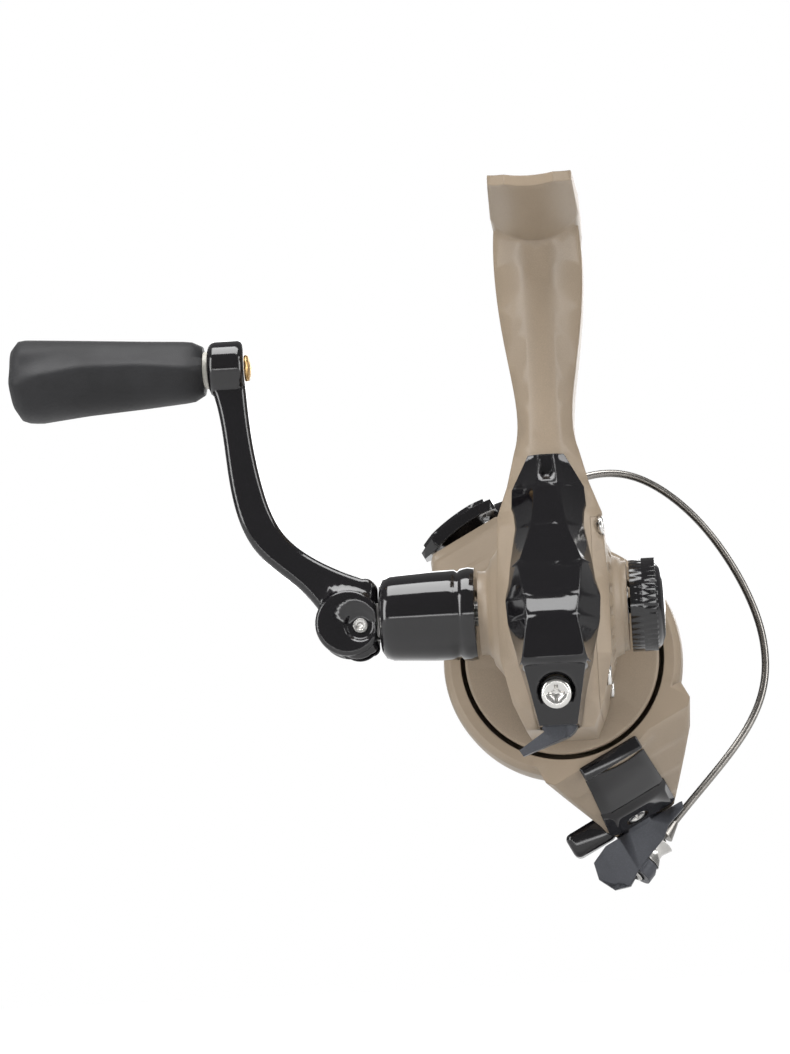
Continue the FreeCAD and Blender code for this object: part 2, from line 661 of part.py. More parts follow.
def make_handle_sleeve():
    profile = [(SLEEVE_BORE_R, -SLEEVE_START), (SLEEVE_R, -SLEEVE_START),
               (SLEEVE_R + 0.2, -SLEEVE_START - 1.2), (SLEEVE_R, -SLEEVE_START - 2.6),
               (SLEEVE_R - 0.5, -SLEEVE_START - 3.1), (SLEEVE_R - 0.1, -SLEEVE_START - 3.7),
               (SLEEVE_R - 0.2, -SLEEVE_START - 8), (SLEEVE_END_R, -SLEEVE_END + 2.0),
               (SLEEVE_END_R - 0.5, -SLEEVE_END + 0.7), (SLEEVE_END_R - 1.6, -SLEEVE_END),
               (SLEEVE_BORE_R, -SLEEVE_END)]
    return turned_x(profile)


# ---- the handle shaft, which draws out as the arm folds ------------------
FOLD_DRAW = 4.4           # how far the shaft comes out over the fold
TONGUE_HALF = 2.0
FORK_HALF = HANDLE_SHAFT_R + 0.15   # half the slot that the tongue sits in
ELBOW_R = 6.0
PIN_R = 1.3


def make_handle_shaft():
    rod = x_cyl(HANDLE_SHAFT_R, -SLEEVE_END + 1.0, BEARING_X)
    thread = x_cyl(1.55, -6.0 - FOLD_DRAW, BEARING_X + 1)
    return rod.cut(thread)


def make_handle_joint():
    """Tongue that the arm folds on, pinned to the end of the shaft."""
    tongue = box(-ELBOW_X - 2.6, -SLEEVE_END - 0.1, -TONGUE_HALF, TONGUE_HALF,
                 HANDLE_Z + ELBOW_Z - 2.6, HANDLE_Z + 2.6)
    nose = y_cyl(2.6, -TONGUE_HALF, TONGUE_HALF, -ELBOW_X, HANDLE_Z + ELBOW_Z)
    block = box(-ELBOW_X, -SLEEVE_END - 0.1, -TONGUE_HALF, TONGUE_HALF,
                HANDLE_Z + ELBOW_Z - 2.6, HANDLE_Z + 2.6)
    plug = x_cyl(HANDLE_SHAFT_R + 1.6, -SLEEVE_END - 0.2, -SLEEVE_END + 0.0)
    stub = x_cyl(HANDLE_SHAFT_R, -SLEEVE_END - 0.2, -SLEEVE_END + 1.0)
    whole = fuse([nose, tongue.common(block), stub]).fuse(plug.common(block))
    return whole.cut(y_cyl(PIN_R, -5, 5, -ELBOW_X, HANDLE_Z + ELBOW_Z))


def arm_outline():
    """Edges of the arm in the XZ plane, heights from the handle axis."""
    inner = [(-34.6, 7.3), (-41.5, 10.4), (-48.6, 16.2), (-52.3, 25.5), (-54.2, 38.0), (-54.6, 44.0)]
    outer = [(-61.0, 44.0), (-59.3, 36.3), (-57.9, 24.0), (-53.8, 13.2), (-46.3, 6.1), (-41.2, -0.8),
             (-39.4, -5.2)]
    return inner, outer


def make_handle_arm():
    inner, outer = arm_outline()
    y0 = -ARM_THICK / 2

    def at(x, up):
        return Vec(x, y0, HANDLE_Z + up)

    inside = Part.BSplineCurve()
    inside.interpolate([at(*p) for p in inner])
    outside = Part.BSplineCurve()
    outside.interpolate([at(*p) for p in outer])
    face_x = -SLEEVE_END - 0.6
    edges = [inside.toShape(),
             Part.LineSegment(at(*inner[-1]), at(*outer[0])).toShape(),
             outside.toShape(),
             Part.Arc(at(*outer[-1]), at(-36.6, -7.4), at(-33.6, -6.6)).toShape(),
             Part.Arc(at(-33.6, -6.6), at(face_x - 0.3, -6.0), at(face_x, -4.9)).toShape(),
             Part.LineSegment(at(face_x, -4.9), at(face_x, 5.4)).toShape(),
             Part.Arc(at(face_x, 5.4), at(face_x - 0.5, 6.7), at(*inner[0])).toShape()]
    blank = Part.Face(Part.Wire(edges)).extrude(Vec(0, ARM_THICK, 0))
    rims = [e for e in blank.Edges if abs(abs(e.CenterOfMass.y) - ARM_THICK / 2) < 1e-4]
    blank = blank.makeFillet(1.3, rims)
    boss_z = HANDLE_Z + ARM_REACH
    boss = x_cyl(KNOB_BOSS_R, -KNOB_START + 1.0, -54.6, 0, boss_z)
    boss = boss.makeFillet(1.5, [e for e in boss.Edges if e.Closed and
                                 e.Curve.TypeId == "Part::GeomCircle"])
    elbow = y_cyl(ELBOW_R, -ARM_THICK / 2 - 0.9, ARM_THICK / 2 + 0.9, -ELBOW_X - 2.2,
                  HANDLE_Z + ELBOW_Z + 0.6)
    elbow = elbow.common(box(-60, face_x, -20, 20, HANDLE_Z - 30, HANDLE_Z + 30))
    elbow = elbow.makeFillet(0.8, [e for e in elbow.Edges if abs(abs(e.CenterOfMass.y) -
                                                               ARM_THICK / 2 - 0.9) < 1e-4])
    pin_place = -ELBOW_X, HANDLE_Z + ELBOW_Z
    slot_room = box(-ELBOW_X - 3.4, -20, -FORK_HALF, FORK_HALF, HANDLE_Z - 12, HANDLE_Z + 10.2)
    turn_room = y_cyl(3.4, -FORK_HALF, FORK_HALF, *pin_place)
    dishes = []
    for side in (-1, 1):
        surface = side * (ARM_THICK / 2 + 0.9)
        dishes.append(Part.makeCone(3.1, 2.2, 0.8, Vec(pin_place[0], surface, pin_place[1]),
                                    Vec(0, -side, 0)))
    arm = fuse([blank, boss, elbow])
    return arm.cut([slot_room, turn_room, y_cyl(PIN_R + RUN, -9, 9, *pin_place),
                    x_cyl(SHANK_R, -70, -50, 0, boss_z)] + dishes)


def make_elbow_pin():
    half = ARM_THICK / 2 + 0.5
    pin = y_cyl(PIN_R, -half, half, -ELBOW_X, HANDLE_Z + ELBOW_Z)
    dimple = y_cyl(0.6, -half - 1, -half + 0.4, -ELBOW_X, HANDLE_Z + ELBOW_Z)
    return pin.cut(dimple)


def make_knob_shank():
    """Steel shank, riveted through the arm's boss, that the knob turns on."""
    z = HANDLE_Z + ARM_REACH
    end = -KNOB_START - KNOB_LENGTH + 5.0
    return fuse([x_cyl(SHANK_R, end, -55.4, 0, z), x_cyl(2.9, end - 0.8, end, 0, z)])


def make_knob_rivet():
    z = HANDLE_Z + ARM_REACH
    return turned_x([(0, -55.4), (SHANK_R, -55.4), (SHANK_R, -54.6), (2.5, -54.6), (2.3, -54.1),
                     (1.2, -53.7), (0, -53.6)], z)


def make_knob_washer():
    z = HANDLE_Z + ARM_REACH
    return x_ring(3.4, SHANK_R + 0.02, -KNOB_START + 0.1, -KNOB_START + 0.9, 0, z)


def ellipse_section(x, half_y, low, high):
    """Closed oval across the knob at x; low and high are from the handle axis."""
    centre = Vec(x, 0, HANDLE_Z + (low + high) / 2)
    half_z = (high - low) / 2
    points = []
    count = 16
    for i in range(count):
        angle = 2 * math.pi * i / count
        c, s = math.cos(angle), math.sin(angle)
        k = (abs(c) ** 2.6 + abs(s) ** 2.6) ** (-1 / 2.6)
        points.append(centre + Vec(0, half_y * k * c, half_z * k * s))
    curve = Part.BSplineCurve()
    curve.interpolate(points, PeriodicFlag=True)
    return Part.Wire([curve.toShape()])


def make_handle_knob():
    start, length = KNOB_START, KNOB_LENGTH
    levels = ((0.0, 4.6, 42.9, 52.1), (0.03, 5.6, 42.0, 52.9), (0.3, 6.6, 41.2, 53.6),
              (0.62, 7.6, 40.5, 54.4), (0.87, 8.4, 39.5, 55.0), (0.955, 8.2, 39.9, 55.2),
              (0.985, 7.4, 41.0, 54.6), (1.0, 6.4, 42.2, 53.6))
    wires = [ellipse_section(-start - length * f, hy, lo, hi) for f, hy, lo, hi in levels]
    knob = Part.makeLoft(wires, True, False)
    z = HANDLE_Z + ARM_REACH
    end = -start - length + 5.0
    bore = x_cyl(SHANK_R + RUN, end - 0.5, -start + 1, 0, z)
    head = x_cyl(2.9 + GAP, end - 0.8 - GAP, end + GAP, 0, z)
    return knob.cut([bore, head])


def make_handle_cap():
    """Screw cap on the far end: collar, knurled grip and domed end."""
    collar = turned_x([(0, CAP_START), (CAP_R, CAP_START), (CAP_R, CAP_START + 2.2), (0, CAP_START + 2.2)])
    grip = x_prism(star_outline(CAP_R, CAP_R - 0.35, 44), CAP_START + 2.2, CAP_END - 1.6)
    dome = turned_x([(0, CAP_END - 1.6), (CAP_R - 0.3, CAP_END - 1.6), (CAP_R - 1.0, CAP_END - 0.8),
                     (CAP_R - 2.6, CAP_END - 0.2), (0, CAP_END)])
    bolt = x_cyl(1.45, -1.0, CAP_START + 1)
    return fuse([collar, grip, dome, bolt])


# ---- the oscillation gear ------------------------------------------------
OSC_PIN_R = 1.0


def make_osc_gear():
    turn = OSC_ANGLE + math.pi + math.pi / OSC_TEETH
    wheel = x_prism(spur_outline(OSC_TEETH, OSC_MODULE, 0.40, turn), OSC_X0, OSC_X1, OSC_Y, OSC_Z)
    crank_pin = x_cyl(OSC_PIN_R, OSC_X1 - 0.5, SLIDER_X0 - 0.1, OSC_Y, OSC_Z + HALF_STROKE)
    return fuse([wheel, crank_pin]).cut(x_cyl(1.2 + RUN, OSC_X0 - 1, OSC_X1 + 1, OSC_Y, OSC_Z))


SLIDER_X0 = -2.9
SLIDER_X1 = 0.9
SLIDER_HALF_Y = 2.3


def make_osc_axle():
    return x_cyl(1.2, -7.2, OSC_X1 - 0.1, OSC_Y, OSC_Z)


# ---- the pinion and the rotor --------------------------------------------
PINION_BORE_R = SHAFT_R + RUN
NUT_THICK = 3.0
ROTOR_HUB_R = 7.0
SCREW_U = 30.0            # arm cover screw, out from the spool axis
LOCK_SCREW_UP = 8.8


def make_pinion():
    outline = spur_outline(PINION_TEETH, MODULE, 0.36, math.pi / PINION_TEETH)
    toothed = y_prism(outline, BUSH_Y1 + 0.3, FLANGE_Y + 0.6)
    tail = y_cyl(1.9, BUSH_Y0, BUSH_Y1 + 0.4)
    journal = y_cyl(PINION_JOURNAL_R, FLANGE_Y + 0.5, PLATE_END + NUT_THICK + 0.8)
    return fuse([toothed, tail, journal]).cut(y_cyl(PINION_BORE_R, 0, 60))


def make_clutch_sleeve():
    return y_ring(CLUTCH_SLEEVE_R, PINION_JOURNAL_R, CLUTCH_Y + 0.1, CLUTCH_END + CLUTCH_PLATE + 0.6)


def arm_section(y, t0, t1, u_in, u_out, chamfer=1.2):
    """Section of a rotor arm: chamfered on its outer corners."""
    return [rotor_point(t0, u_in, y), rotor_point(t1, u_in, y), rotor_point(t1, u_out - chamfer, y),
            rotor_point(t1 - chamfer, u_out, y), rotor_point(t0 + chamfer, u_out, y),
            rotor_point(t0, u_out - chamfer, y)]


ARM_A = (
    # y, low t, high t, inner u, outer u
    (RIM_Y, -14.5, 16.5, 15.0, 19.6),
    (25.0, -12.8, 14.0, 17.0, 23.8),
    (31.5, -11.2, 10.5, 19.0, 27.6),
    (38.0, -9.8, 7.4, 23.0, 30.8),
    (44.0, -9.4, 5.6, 23.2, ARM_END_U),
    (53.0, -8.6, 4.6, 23.4, ARM_END_U),
)
ARM_B = (
    (RIM_Y, -15.5, 13.0, 15.0, 19.0),
    (25.0, -13.8, 9.5, 17.0, 24.5),
    (31.5, -12.4, 6.4, 19.0, 29.6),
    (38.0, -11.8, 4.6, 23.0, 32.0),
    (53.0, -10.6, 3.6, 23.4, ARM_END_U),
)


def rotor_skirt():
    profile = [(RIM_INNER_R, RIM_Y), (ROTOR_R - 1.6, RIM_Y), (ROTOR_R - 0.4, RIM_Y + 1.6),
               (ROTOR_R, 24.0), (ROTOR_R, STEP_Y - 1.2), (ROTOR_R - 1.2, STEP_Y),
               (DRUM_R, STEP_Y), (DRUM_R, DRUM_FRONT_Y - 0.8), (DRUM_R - 0.8, DRUM_FRONT_Y),
               (DRUM_R - 1.6, DRUM_FRONT_Y), (DRUM_R - 1.6, PLATE_END), (ROTOR_HUB_R, PLATE_END),
               (PINION_JOURNAL_R, PLATE_END), (PINION_JOURNAL_R, PLATE_Y), (DRUM_R - 1.6, PLATE_Y),
               (DRUM_R - 1.6, STEP_Y - 2.0), (RIM_INNER_R + 0.6, STEP_Y - 2.0),
               (RIM_INNER_R + 0.6, RIM_Y + 2.5), (RIM_INNER_R, RIM_Y + 1.8)]
    return turned_y(profile, 0.0)


def arm_loft(levels, side):
    sections = []
    for y, t0, t1, u_in, u_out in levels:
        section = arm_section(y, t0, t1, u_in, u_out)
        if side < 0:
            section = [Vec(p.x, p.y, -p.z) for p in section]
        sections.append(section)
    return loft(sections)


def make_rotor():
    room = y_cyl(RIM_INNER_R + 0.6, 0, STEP_Y - 2.0, z=0.0)
    spool_room = y_cyl(ROTOR_R + 0.4, STEP_Y, 70, z=0.0)
    arms = [arm_loft(ARM_A, 1), arm_loft(ARM_B, -1)]
    arms = [arm.cut([room, spool_room]) for arm in arms]
    rotor = fuse([rotor_skirt()] + arms)
    seat_a = Part.makeCylinder(5.2, 2.0, rotor_point(PIVOT_T, ARM_END_U - 1.2, PIVOT_Y), Vec(0, 0, -1))
    spring_room = Part.makeCylinder(4.4, 5.0, rotor_point(PIVOT_T, ARM_END_U - 6.0, PIVOT_Y),
                                    Vec(0, 0, -1))
    pivots = Part.makeCylinder(PIVOT_R + RUN, 90, Vec(PIVOT_T, PIVOT_Y, -45), Vec(0, 0, 1))
    trip_room = box(TRIP_T0 - RUN, TRIP_T1 + RUN, TRIP_Y0 - 3.4, TRIP_Y1 + 0.3,
                    -TRIP_U1 - RUN, -TRIP_U0 + RUN)
    cover_hole = cover_screw_hole(0.85, 5.0)
    drain = polar_copies(box(-1.6, 1.6, 27.0, 28.2, 19, 24), 2, Vec(0, 0, 0), Vec(0, 1, 0), 78)
    cover_seat = Part.makeCylinder(2.1, 6, cover_screw_base(), cover_screw_axis())
    rotor = rotor.cut([seat_a, spring_room, pivots, trip_room, cover_hole, cover_seat] + drain)
    lock_hole = y_cyl(0.75, PLATE_Y - 1, PLATE_END + 1, 0, SPOOL_Z + LOCK_SCREW_UP)
    return on_rotor(rotor).cut(lock_hole)


TRIP_T0 = 0.6
TRIP_T1 = 3.0
TRIP_U0 = 24.0
TRIP_U1 = 25.6
TRIP_Y0 = 31.5
TRIP_Y1 = 43.0


def make_trip_lever():
    """Sliding bar in arm A that lets the open bail snap shut."""
    bar = box(TRIP_T0, TRIP_T1, TRIP_Y0, TRIP_Y1, -TRIP_U1, -TRIP_U0)
    return on_rotor(bar)


def make_rotor_nut():
    nut = y_prism(hexagon(11.0), PLATE_END, PLATE_END + NUT_THICK)
    return nut.cut(y_cyl(PINION_JOURNAL_R, 0, 60))


def make_nut_lock():
    """Plate beside the nut that stops it from backing off, with its screw hole."""
    plate = box(-3.0, 3.0, PLATE_END, PLATE_END + 1.2, 5.7, 11.0)
    hole = y_cyl(0.8, PLATE_END - 1, PLATE_END + 3, 0, LOCK_SCREW_UP)
    placed = plate.cut(hole)
    placed.translate(Vec(0, 0, SPOOL_Z))
    return placed


def make_nut_lock_screw():
    head = Vec(0, PLATE_END + 1.2, SPOOL_Z + LOCK_SCREW_UP)
    return screw(1.5, 0.9, 0.75, 2.2, head, Vec(0, 1, 0), Vec(1, 0, 0))


# ---- cover of arm A ------------------------------------------------------
COVER_RISE = 1.1


def cover_section(y, t0, t1, u, rise):
    return [rotor_point(t0, u - 2.5, y), rotor_point(t1, u - 2.5, y),
            rotor_point(t1, u + rise * 0.4, y), rotor_point(t1 - 1.0, u + rise, y),
            rotor_point(t0 + 1.8, u + rise, y), rotor_point(t0, u + rise * 0.2, y)]


def cover_screw_axis():
    return Vec(0, -0.42, -1).normalize()


def cover_screw_base():
    return rotor_point(-3.0, SCREW_U + 0.6, 38.6)


def cover_screw_hole(radius, depth):
    axis = cover_screw_axis()
    return Part.makeCylinder(radius, depth + 4, cover_screw_base() - axis * depth, axis)


def make_arm_cover():
    """Stepped gloss cover on the back of arm A."""
    long_part = loft([cover_section(RIM_Y + 1.2, -8.0, 4.2, 20.1, 0.6),
                      cover_section(25.0, -8.2, 4.4, 23.8, COVER_RISE),
                      cover_section(31.5, -8.6, 4.7, 27.6, COVER_RISE),
                      cover_section(36.0, -8.9, 4.8, 29.8, COVER_RISE)])
    step = loft([cover_section(32.0, -8.8, 4.9, 27.9, COVER_RISE + 0.9),
                 cover_section(41.2, -9.2, 5.0, 31.8, ARM_END_U - 31.9)])
    blank = fuse([long_part, step])
    under = arm_loft(ARM_A, 1)
    ring = turned_y([(0, RIM_Y - 2), (ROTOR_R, RIM_Y - 2), (ROTOR_R, STEP_Y), (0, STEP_Y)], 0.0)
    seat = Part.makeCylinder(2.3, 6, cover_screw_base(), cover_screw_axis())
    cover = blank.cut([under, ring, rotor_skirt(), seat, cover_screw_hole(1.0, 5.0)])
    solids = sorted(cover.Solids, key=lambda s: s.Volume)
    return on_rotor(solids[-1])


def make_arm_cover_screw():
    return on_rotor(screw(1.9, 0.9, 0.8, 4.4, cover_screw_base(), cover_screw_axis(), Vec(1, 0, 0)))


# ---- the bail ------------------------------------------------------------
LEVER_U0 = ARM_END_U + GAP
ROLLER_OUTER_R = 3.0
ROLLER_LENGTH = 4.4
ROLLER_BORE_R = 1.5
AXLE_R = 1.1


def bail_point(u, v):
    """Point in the bail's tilted plane: u along the pivots, v away from them."""
    tilt = math.radians(BAIL_TILT)
    return rotor_point(v * math.sin(tilt), u, PIVOT_Y + 1.5 + v * math.cos(tilt))


WIRE_CORNERS = (
    # u, v, corner radius
    (36.9, -1.0, 0.0),
    (23.4, 32.4, 14.0),
    (9.8, 40.2, 18.0),
    (-8.9, 40.2, 26.0),
    (-29.4, 33.2, 10.0),
    (-34.2, 6.2, 0.0),
)


def wire_path():
    """Straight runs joined by tangent arcs."""
    points = [bail_point(*corner[:2]) for corner in WIRE_CORNERS]
    edges = []
    start = points[0]
    for i in range(1, len(points) - 1):
        corner = points[i]
        radius = WIRE_CORNERS[i][2]
        back = (points[i - 1] - corner).normalize()
        ahead = (points[i + 1] - corner).normalize()
        half = back.getAngle(ahead) / 2
        run = radius / math.tan(half)
        first = corner + back * run
        last = corner + ahead * run
        inward = (back + ahead).normalize()
        middle = corner + inward * (radius / math.sin(half) - radius)
        edges.append(Part.LineSegment(start, first).toShape())
        edges.append(Part.Arc(first, middle, last).toShape())
        start = last
    edges.append(Part.LineSegment(start, points[-1]).toShape())
    return Part.Wire(edges), points


def wire_blank():
    """The wire and the cone at its root, before they are placed."""
    path, points = wire_path()
    ring = Part.Wire([Part.makeCircle(WIRE_R, points[0], points[1] - points[0])])
    wire = path.makePipeShell([ring], True, False)
    root = roller_axis()
    cone = Part.makeCone(1.9, 1.0, 3.4, points[0] - root * 0.4, root * -1)
    return fuse([wire, cone])


def make_bail_wire():
    return on_rotor(wire_blank())


def roller_axis():
    """Unit vector from the wire's root back to the lever."""
    return (bail_point(36.9, -1.0) - bail_point(23.4, 32.4)).normalize()


def along_roller(distance):
    return bail_point(36.9, -1.0) + roller_axis() * distance


ROLLER_START = 0.9


def make_line_roller():
    axis = roller_axis()
    base = along_roller(ROLLER_START)
    first = Part.makeCone(ROLLER_OUTER_R, ROLLER_OUTER_R - 0.9, ROLLER_LENGTH * 0.4, base, axis)
    middle = base + axis * ROLLER_LENGTH * 0.4
    groove = Part.makeCylinder(ROLLER_OUTER_R - 0.9, ROLLER_LENGTH * 0.2, middle, axis)
    last = Part.makeCone(ROLLER_OUTER_R - 0.9, ROLLER_OUTER_R, ROLLER_LENGTH * 0.4,
                         middle + axis * ROLLER_LENGTH * 0.2, axis)
    bore = Part.makeCylinder(ROLLER_BORE_R + RUN, 20, base - axis * 5, axis)
    return on_rotor(fuse([first, groove, last]).cut(bore))


def make_roller_bush():
    axis = roller_axis()
    bush = Part.makeCylinder(ROLLER_BORE_R, ROLLER_LENGTH + 0.4, along_roller(ROLLER_START - 0.2), axis)
    return on_rotor(bush.cut(Part.makeCylinder(AXLE_R, 20, along_roller(-5), axis)))


def make_roller_screw():
    axis = roller_axis()
    return on_rotor(screw(1.7, 0.9, AXLE_R, LEVER_WALL_END - 0.2, along_roller(LEVER_WALL_END - 0.2), axis,
                          Vec(0, 1, 0).cross(axis).normalize()))


LEVER_WALL_START = ROLLER_START + ROLLER_LENGTH + 0.3
LEVER_WALL_END = LEVER_WALL_START + 3.0


def lever_solid():
    outline = [(6.0, 33.0), (5.6, 34.2), (1.4, 35.6), (-0.6, 37.3), (-7.4, 39.8), (-10.8, 41.7),
               (-13.8, 40.8), (-15.4, 37.6), (-14.6, 34.4), (-11.0, LEVER_U0), (5.4, LEVER_U0)]
    y0, y1 = PIVOT_Y - 4.4, PIVOT_Y + 6.4
    blank = prism([rotor_point(t, u, y0) for t, u in outline], Vec(0, y1 - y0, 0))
    plan = [(6.4, -4.0), (7.0, 1.0), (5.4, 4.8), (0.5, 6.6), (-12.0, 6.6), (-16.0, 4.0),
            (-16.4, -1.0), (-12.0, -3.6), (-7.0, -4.6), (1.0, -4.8)]
    column = prism([rotor_point(t, 20, PIVOT_Y + y) for t, y in plan], Vec(0, 0, -40))
    return blank.common(column)


def make_bail_arm():
    axis = roller_axis()
    lever = lever_solid()
    room = Part.makeCylinder(ROLLER_OUTER_R + 0.5, ROLLER_LENGTH + 0.6, along_roller(ROLLER_START - 0.3),
                             axis)
    mouth = Part.makeCylinder(2.6, 8, along_roller(ROLLER_START - 0.3) - axis * 8, axis)
    holder = Part.makeCylinder(3.2, LEVER_WALL_END - LEVER_WALL_START, along_roller(LEVER_WALL_START),
                               axis)
    recess = Part.makeCylinder(2.0, 6, along_roller(LEVER_WALL_END - 0.2), axis)
    under = Part.makeBox(60, 40, 40, Vec(-30, 20, -LEVER_U0))
    holder = holder.cut(under)
    pivot = Part.makeCylinder(PIVOT_R, 9.0, rotor_point(PIVOT_T, LEVER_U0 + 0.4, PIVOT_Y), Vec(0, 0, 1))
    seat = Part.makeCylinder(5.0, 1.6, rotor_point(PIVOT_T, ARM_END_U - 1.0, PIVOT_Y), Vec(0, 0, -1))
    screw_room = Part.makeCylinder(2.4, 12, rotor_point(PIVOT_T, LEVER_U0 + 0.4, PIVOT_Y), Vec(0, 0, -1))
    bolt_hole = Part.makeCylinder(0.9, 12, rotor_point(PIVOT_T, LEVER_U0 + 2.0, PIVOT_Y), Vec(0, 0, 1))
    axle_hole = Part.makeCylinder(AXLE_R, 20, along_roller(-2), axis)
    lever = fuse([lever, holder]).cut([room, mouth, recess, screw_room])
    lever = fuse([lever, pivot, seat]).cut([bolt_hole, axle_hole, wire_blank()])
    solids = sorted(lever.Solids, key=lambda s: s.Volume)
    return on_rotor(solids[-1])


def bail_arm_screw():
    base = rotor_point(PIVOT_T, LEVER_U0 + 0.4, PIVOT_Y)
    return screw(2.1, 1.0, 0.9, 6.0, base, Vec(0, 0, -1), Vec(1, 0, 0))


def make_bail_stop():
    """Rounded gloss block on the side of arm A that the open lever comes to rest by."""
    outline = [(-8.2, ARM_END_U - 0.6), (-9.6, 29.0), (-12.2, 27.4), (-15.4, 28.0), (-17.2, 30.0),
               (-16.6, ARM_END_U - 0.8), (-14.8, ARM_END_U - 0.1), (-9.6, ARM_END_U - 0.1)]
    block = prism([rotor_point(t, u, PIVOT_Y - 5.0) for t, u in outline], Vec(0, 8.4, 0))
    rims = [e for e in block.Edges if abs(e.tangentAt(e.FirstParameter).y) < 0.01]
    block = block.makeChamfer(0.8, rims)
    return on_rotor(block.cut(arm_loft(ARM_A, 1)))


def make_bail_spring():
    """Coil round the pivot inside arm A."""
    radius, wire_r, pitch, turns = 3.4, 0.35, 0.95, 4
    line = []
    for i in range(turns * 12 + 1):
        angle = i * math.pi / 6
        line.append(Vec(radius * math.cos(angle), -radius * math.sin(angle), -pitch * i / 12))
    curve = Part.BSplineCurve()
    curve.interpolate(line)
    ring = Part.Wire([Part.makeCircle(wire_r, line[0], curve.tangent(curve.FirstParameter)[0])])
    coil = Part.Wire([curve.toShape()]).makePipeShell([ring], True, True)
    coil.translate(rotor_point(PIVOT_T, ARM_END_U - 5.5, PIVOT_Y))
    return on_rotor(coil)


def make_bail_holder():
    """Curved cap on arm B that takes the wire's other end and turns with it."""
    inner = y_cyl(ARM_END_U + GAP + 1.4, 30, 60, z=0.0)
    outer = y_cyl(ARM_END_U + 3.8, 30, 60, z=0.0)
    plan = [(4.4, -5.0), (4.8, 2.0), (2.6, 5.6), (-9.4, 5.6), (-12.4, 2.0), (-12.4, -3.0), (-9.4, -6.0),
            (1.4, -6.4)]
    column = prism([Vec(t, PIVOT_Y + y, 20) for t, y in plan], Vec(0, 0, 30))
    cap = outer.cut(inner).common(column)
    small = [(t * 0.86 - 0.6, y * 0.82) for t, y in plan]
    crown = y_cyl(ARM_END_U + 4.6, 30, 60, z=0.0).cut(inner)
    cap = cap.fuse(crown.common(prism([Vec(t, PIVOT_Y + y, 20) for t, y in small], Vec(0, 0, 30))))
    arm_sweep = box(-60, 60, 0, 90, 0, ARM_END_U + GAP)
    pad = Part.makeCylinder(4.6, 2.4, Vec(PIVOT_T, PIVOT_Y, ARM_END_U + GAP), Vec(0, 0, 1))
    pivot = Part.makeCylinder(PIVOT_R, 8.0, Vec(PIVOT_T, PIVOT_Y, ARM_END_U - 5.6), Vec(0, 0, 1))
    points = wire_path()[1]
    along = (points[-2] - points[-1]).normalize()
    socket = Part.makeCylinder(1.7, 5.4, points[-1] - along * 3.6, along)
    head_room = Part.makeCylinder(2.2, 9, Vec(PIVOT_T, PIVOT_Y, ARM_END_U + 2.2), Vec(0, 0, 1))
    bolt_hole = Part.makeCylinder(0.9, 12, Vec(PIVOT_T, PIVOT_Y, ARM_END_U - 4.6), Vec(0, 0, 1))
    cap = cap.fuse(socket).cut(arm_sweep).fuse([pad, pivot]).cut([head_room, bolt_hole, wire_blank()])
    return on_rotor(cap.removeSplitter())


def bail_holder_screw():
    base = Vec(PIVOT_T, PIVOT_Y, ARM_END_U + 2.2)
    return screw(2.1, 1.0, 0.9, 6.0, base, Vec(0, 0, 1), Vec(1, 0, 0))


def make_bail_pivot_screws():
    return group([on_rotor(bail_arm_screw()), on_rotor(bail_holder_screw())])


# ---- the spool carriage: shaft and slider --------------------------------
SHAFT_FRONT_Y = 74.0
SHAFT_REAR_Y = OSC_Y - SLIDER_HALF_Y - 0.6


def make_main_shaft():
    shaft = y_cyl(SHAFT_R, SHAFT_REAR_Y, SHAFT_FRONT_Y)
    flat = box(SHAFT_R - 0.35, 3, SHAFT_REAR_Y - 1, OSC_Y + SLIDER_HALF_Y, SPOOL_Z - 3, SPOOL_Z + 3)
    return shaft.cut(flat)


def make_slider():
    """Block on the shaft's tail with a groove for the oscillation gear's pin."""
    y0, y1 = OSC_Y - SLIDER_HALF_Y, OSC_Y + SLIDER_HALF_Y
    top = OSC_Z + HALF_STROKE + OSC_PIN_R + 0.9
    block = box(SLIDER_X0, SLIDER_X1, y0, y1, GUIDE_Z - 1.9, min(top, HANDLE_Z - DRIVE_SHAFT_R - 0.5))
    groove = box(SLIDER_X0 - 1, SLIDER_X0 + 0.9, OSC_Y - OSC_PIN_R - 0.3, OSC_Y + OSC_PIN_R + 0.3,
                 GUIDE_Z - 3, HANDLE_Z)
    shaft_hole = y_cyl(SHAFT_R, y0 - 1, y1 + 1)
    flat_keep = box(SHAFT_R - 0.35, 3, y0 - 1, y1 + 1, SPOOL_Z - 3, SPOOL_Z + 3)
    guide_hole = y_cyl(GUIDE_R + RUN, y0 - 1, y1 + 1, GUIDE_X, GUIDE_Z)
    return block.cut([groove, shaft_hole.cut(flat_keep), guide_hole])


def make_slider_pin():
    """Screw that holds the slider on the shaft's end."""
    tail = SHAFT_REAR_Y
    head = y_cyl(1.3, tail - 0.9, tail)
    return head.cut(box(-2, 2, tail - 1, tail - 0.5, SPOOL_Z - 0.2, SPOOL_Z + 0.2))


HUB_Y0 = ARBOR_REAR_Y + 0.6
SLEEVE_WALL = 1.1


def make_spool_sleeve():
    """Brass sleeve on the shaft that the spool and the washers sit on."""
    tube = y_ring(SHAFT_R + SLEEVE_WALL, SHAFT_R, HUB_Y0 - 3.0, LIP_Y - 5.4)
    collar = y_ring(5.0, SHAFT_R, HUB_Y0 - 3.6, HUB_Y0 - 3.0)
    return fuse([tube, collar])


def make_click_gear():
    """Toothed wheel behind the spool that the drag's clicker rides on."""
    outline = spur_outline(30, 0.4, 0.5)
    wheel = y_prism(outline, HUB_Y0 - 2.9, HUB_Y0 - 1.7)
    return wheel.cut(y_cyl(SHAFT_R + SLEEVE_WALL, 0, 90))


# ---- the spool -----------------------------------------------------------
RECESS_R = DRAG_R + 0.3
RECESS_Y = ARBOR_REAR_Y + 4.4


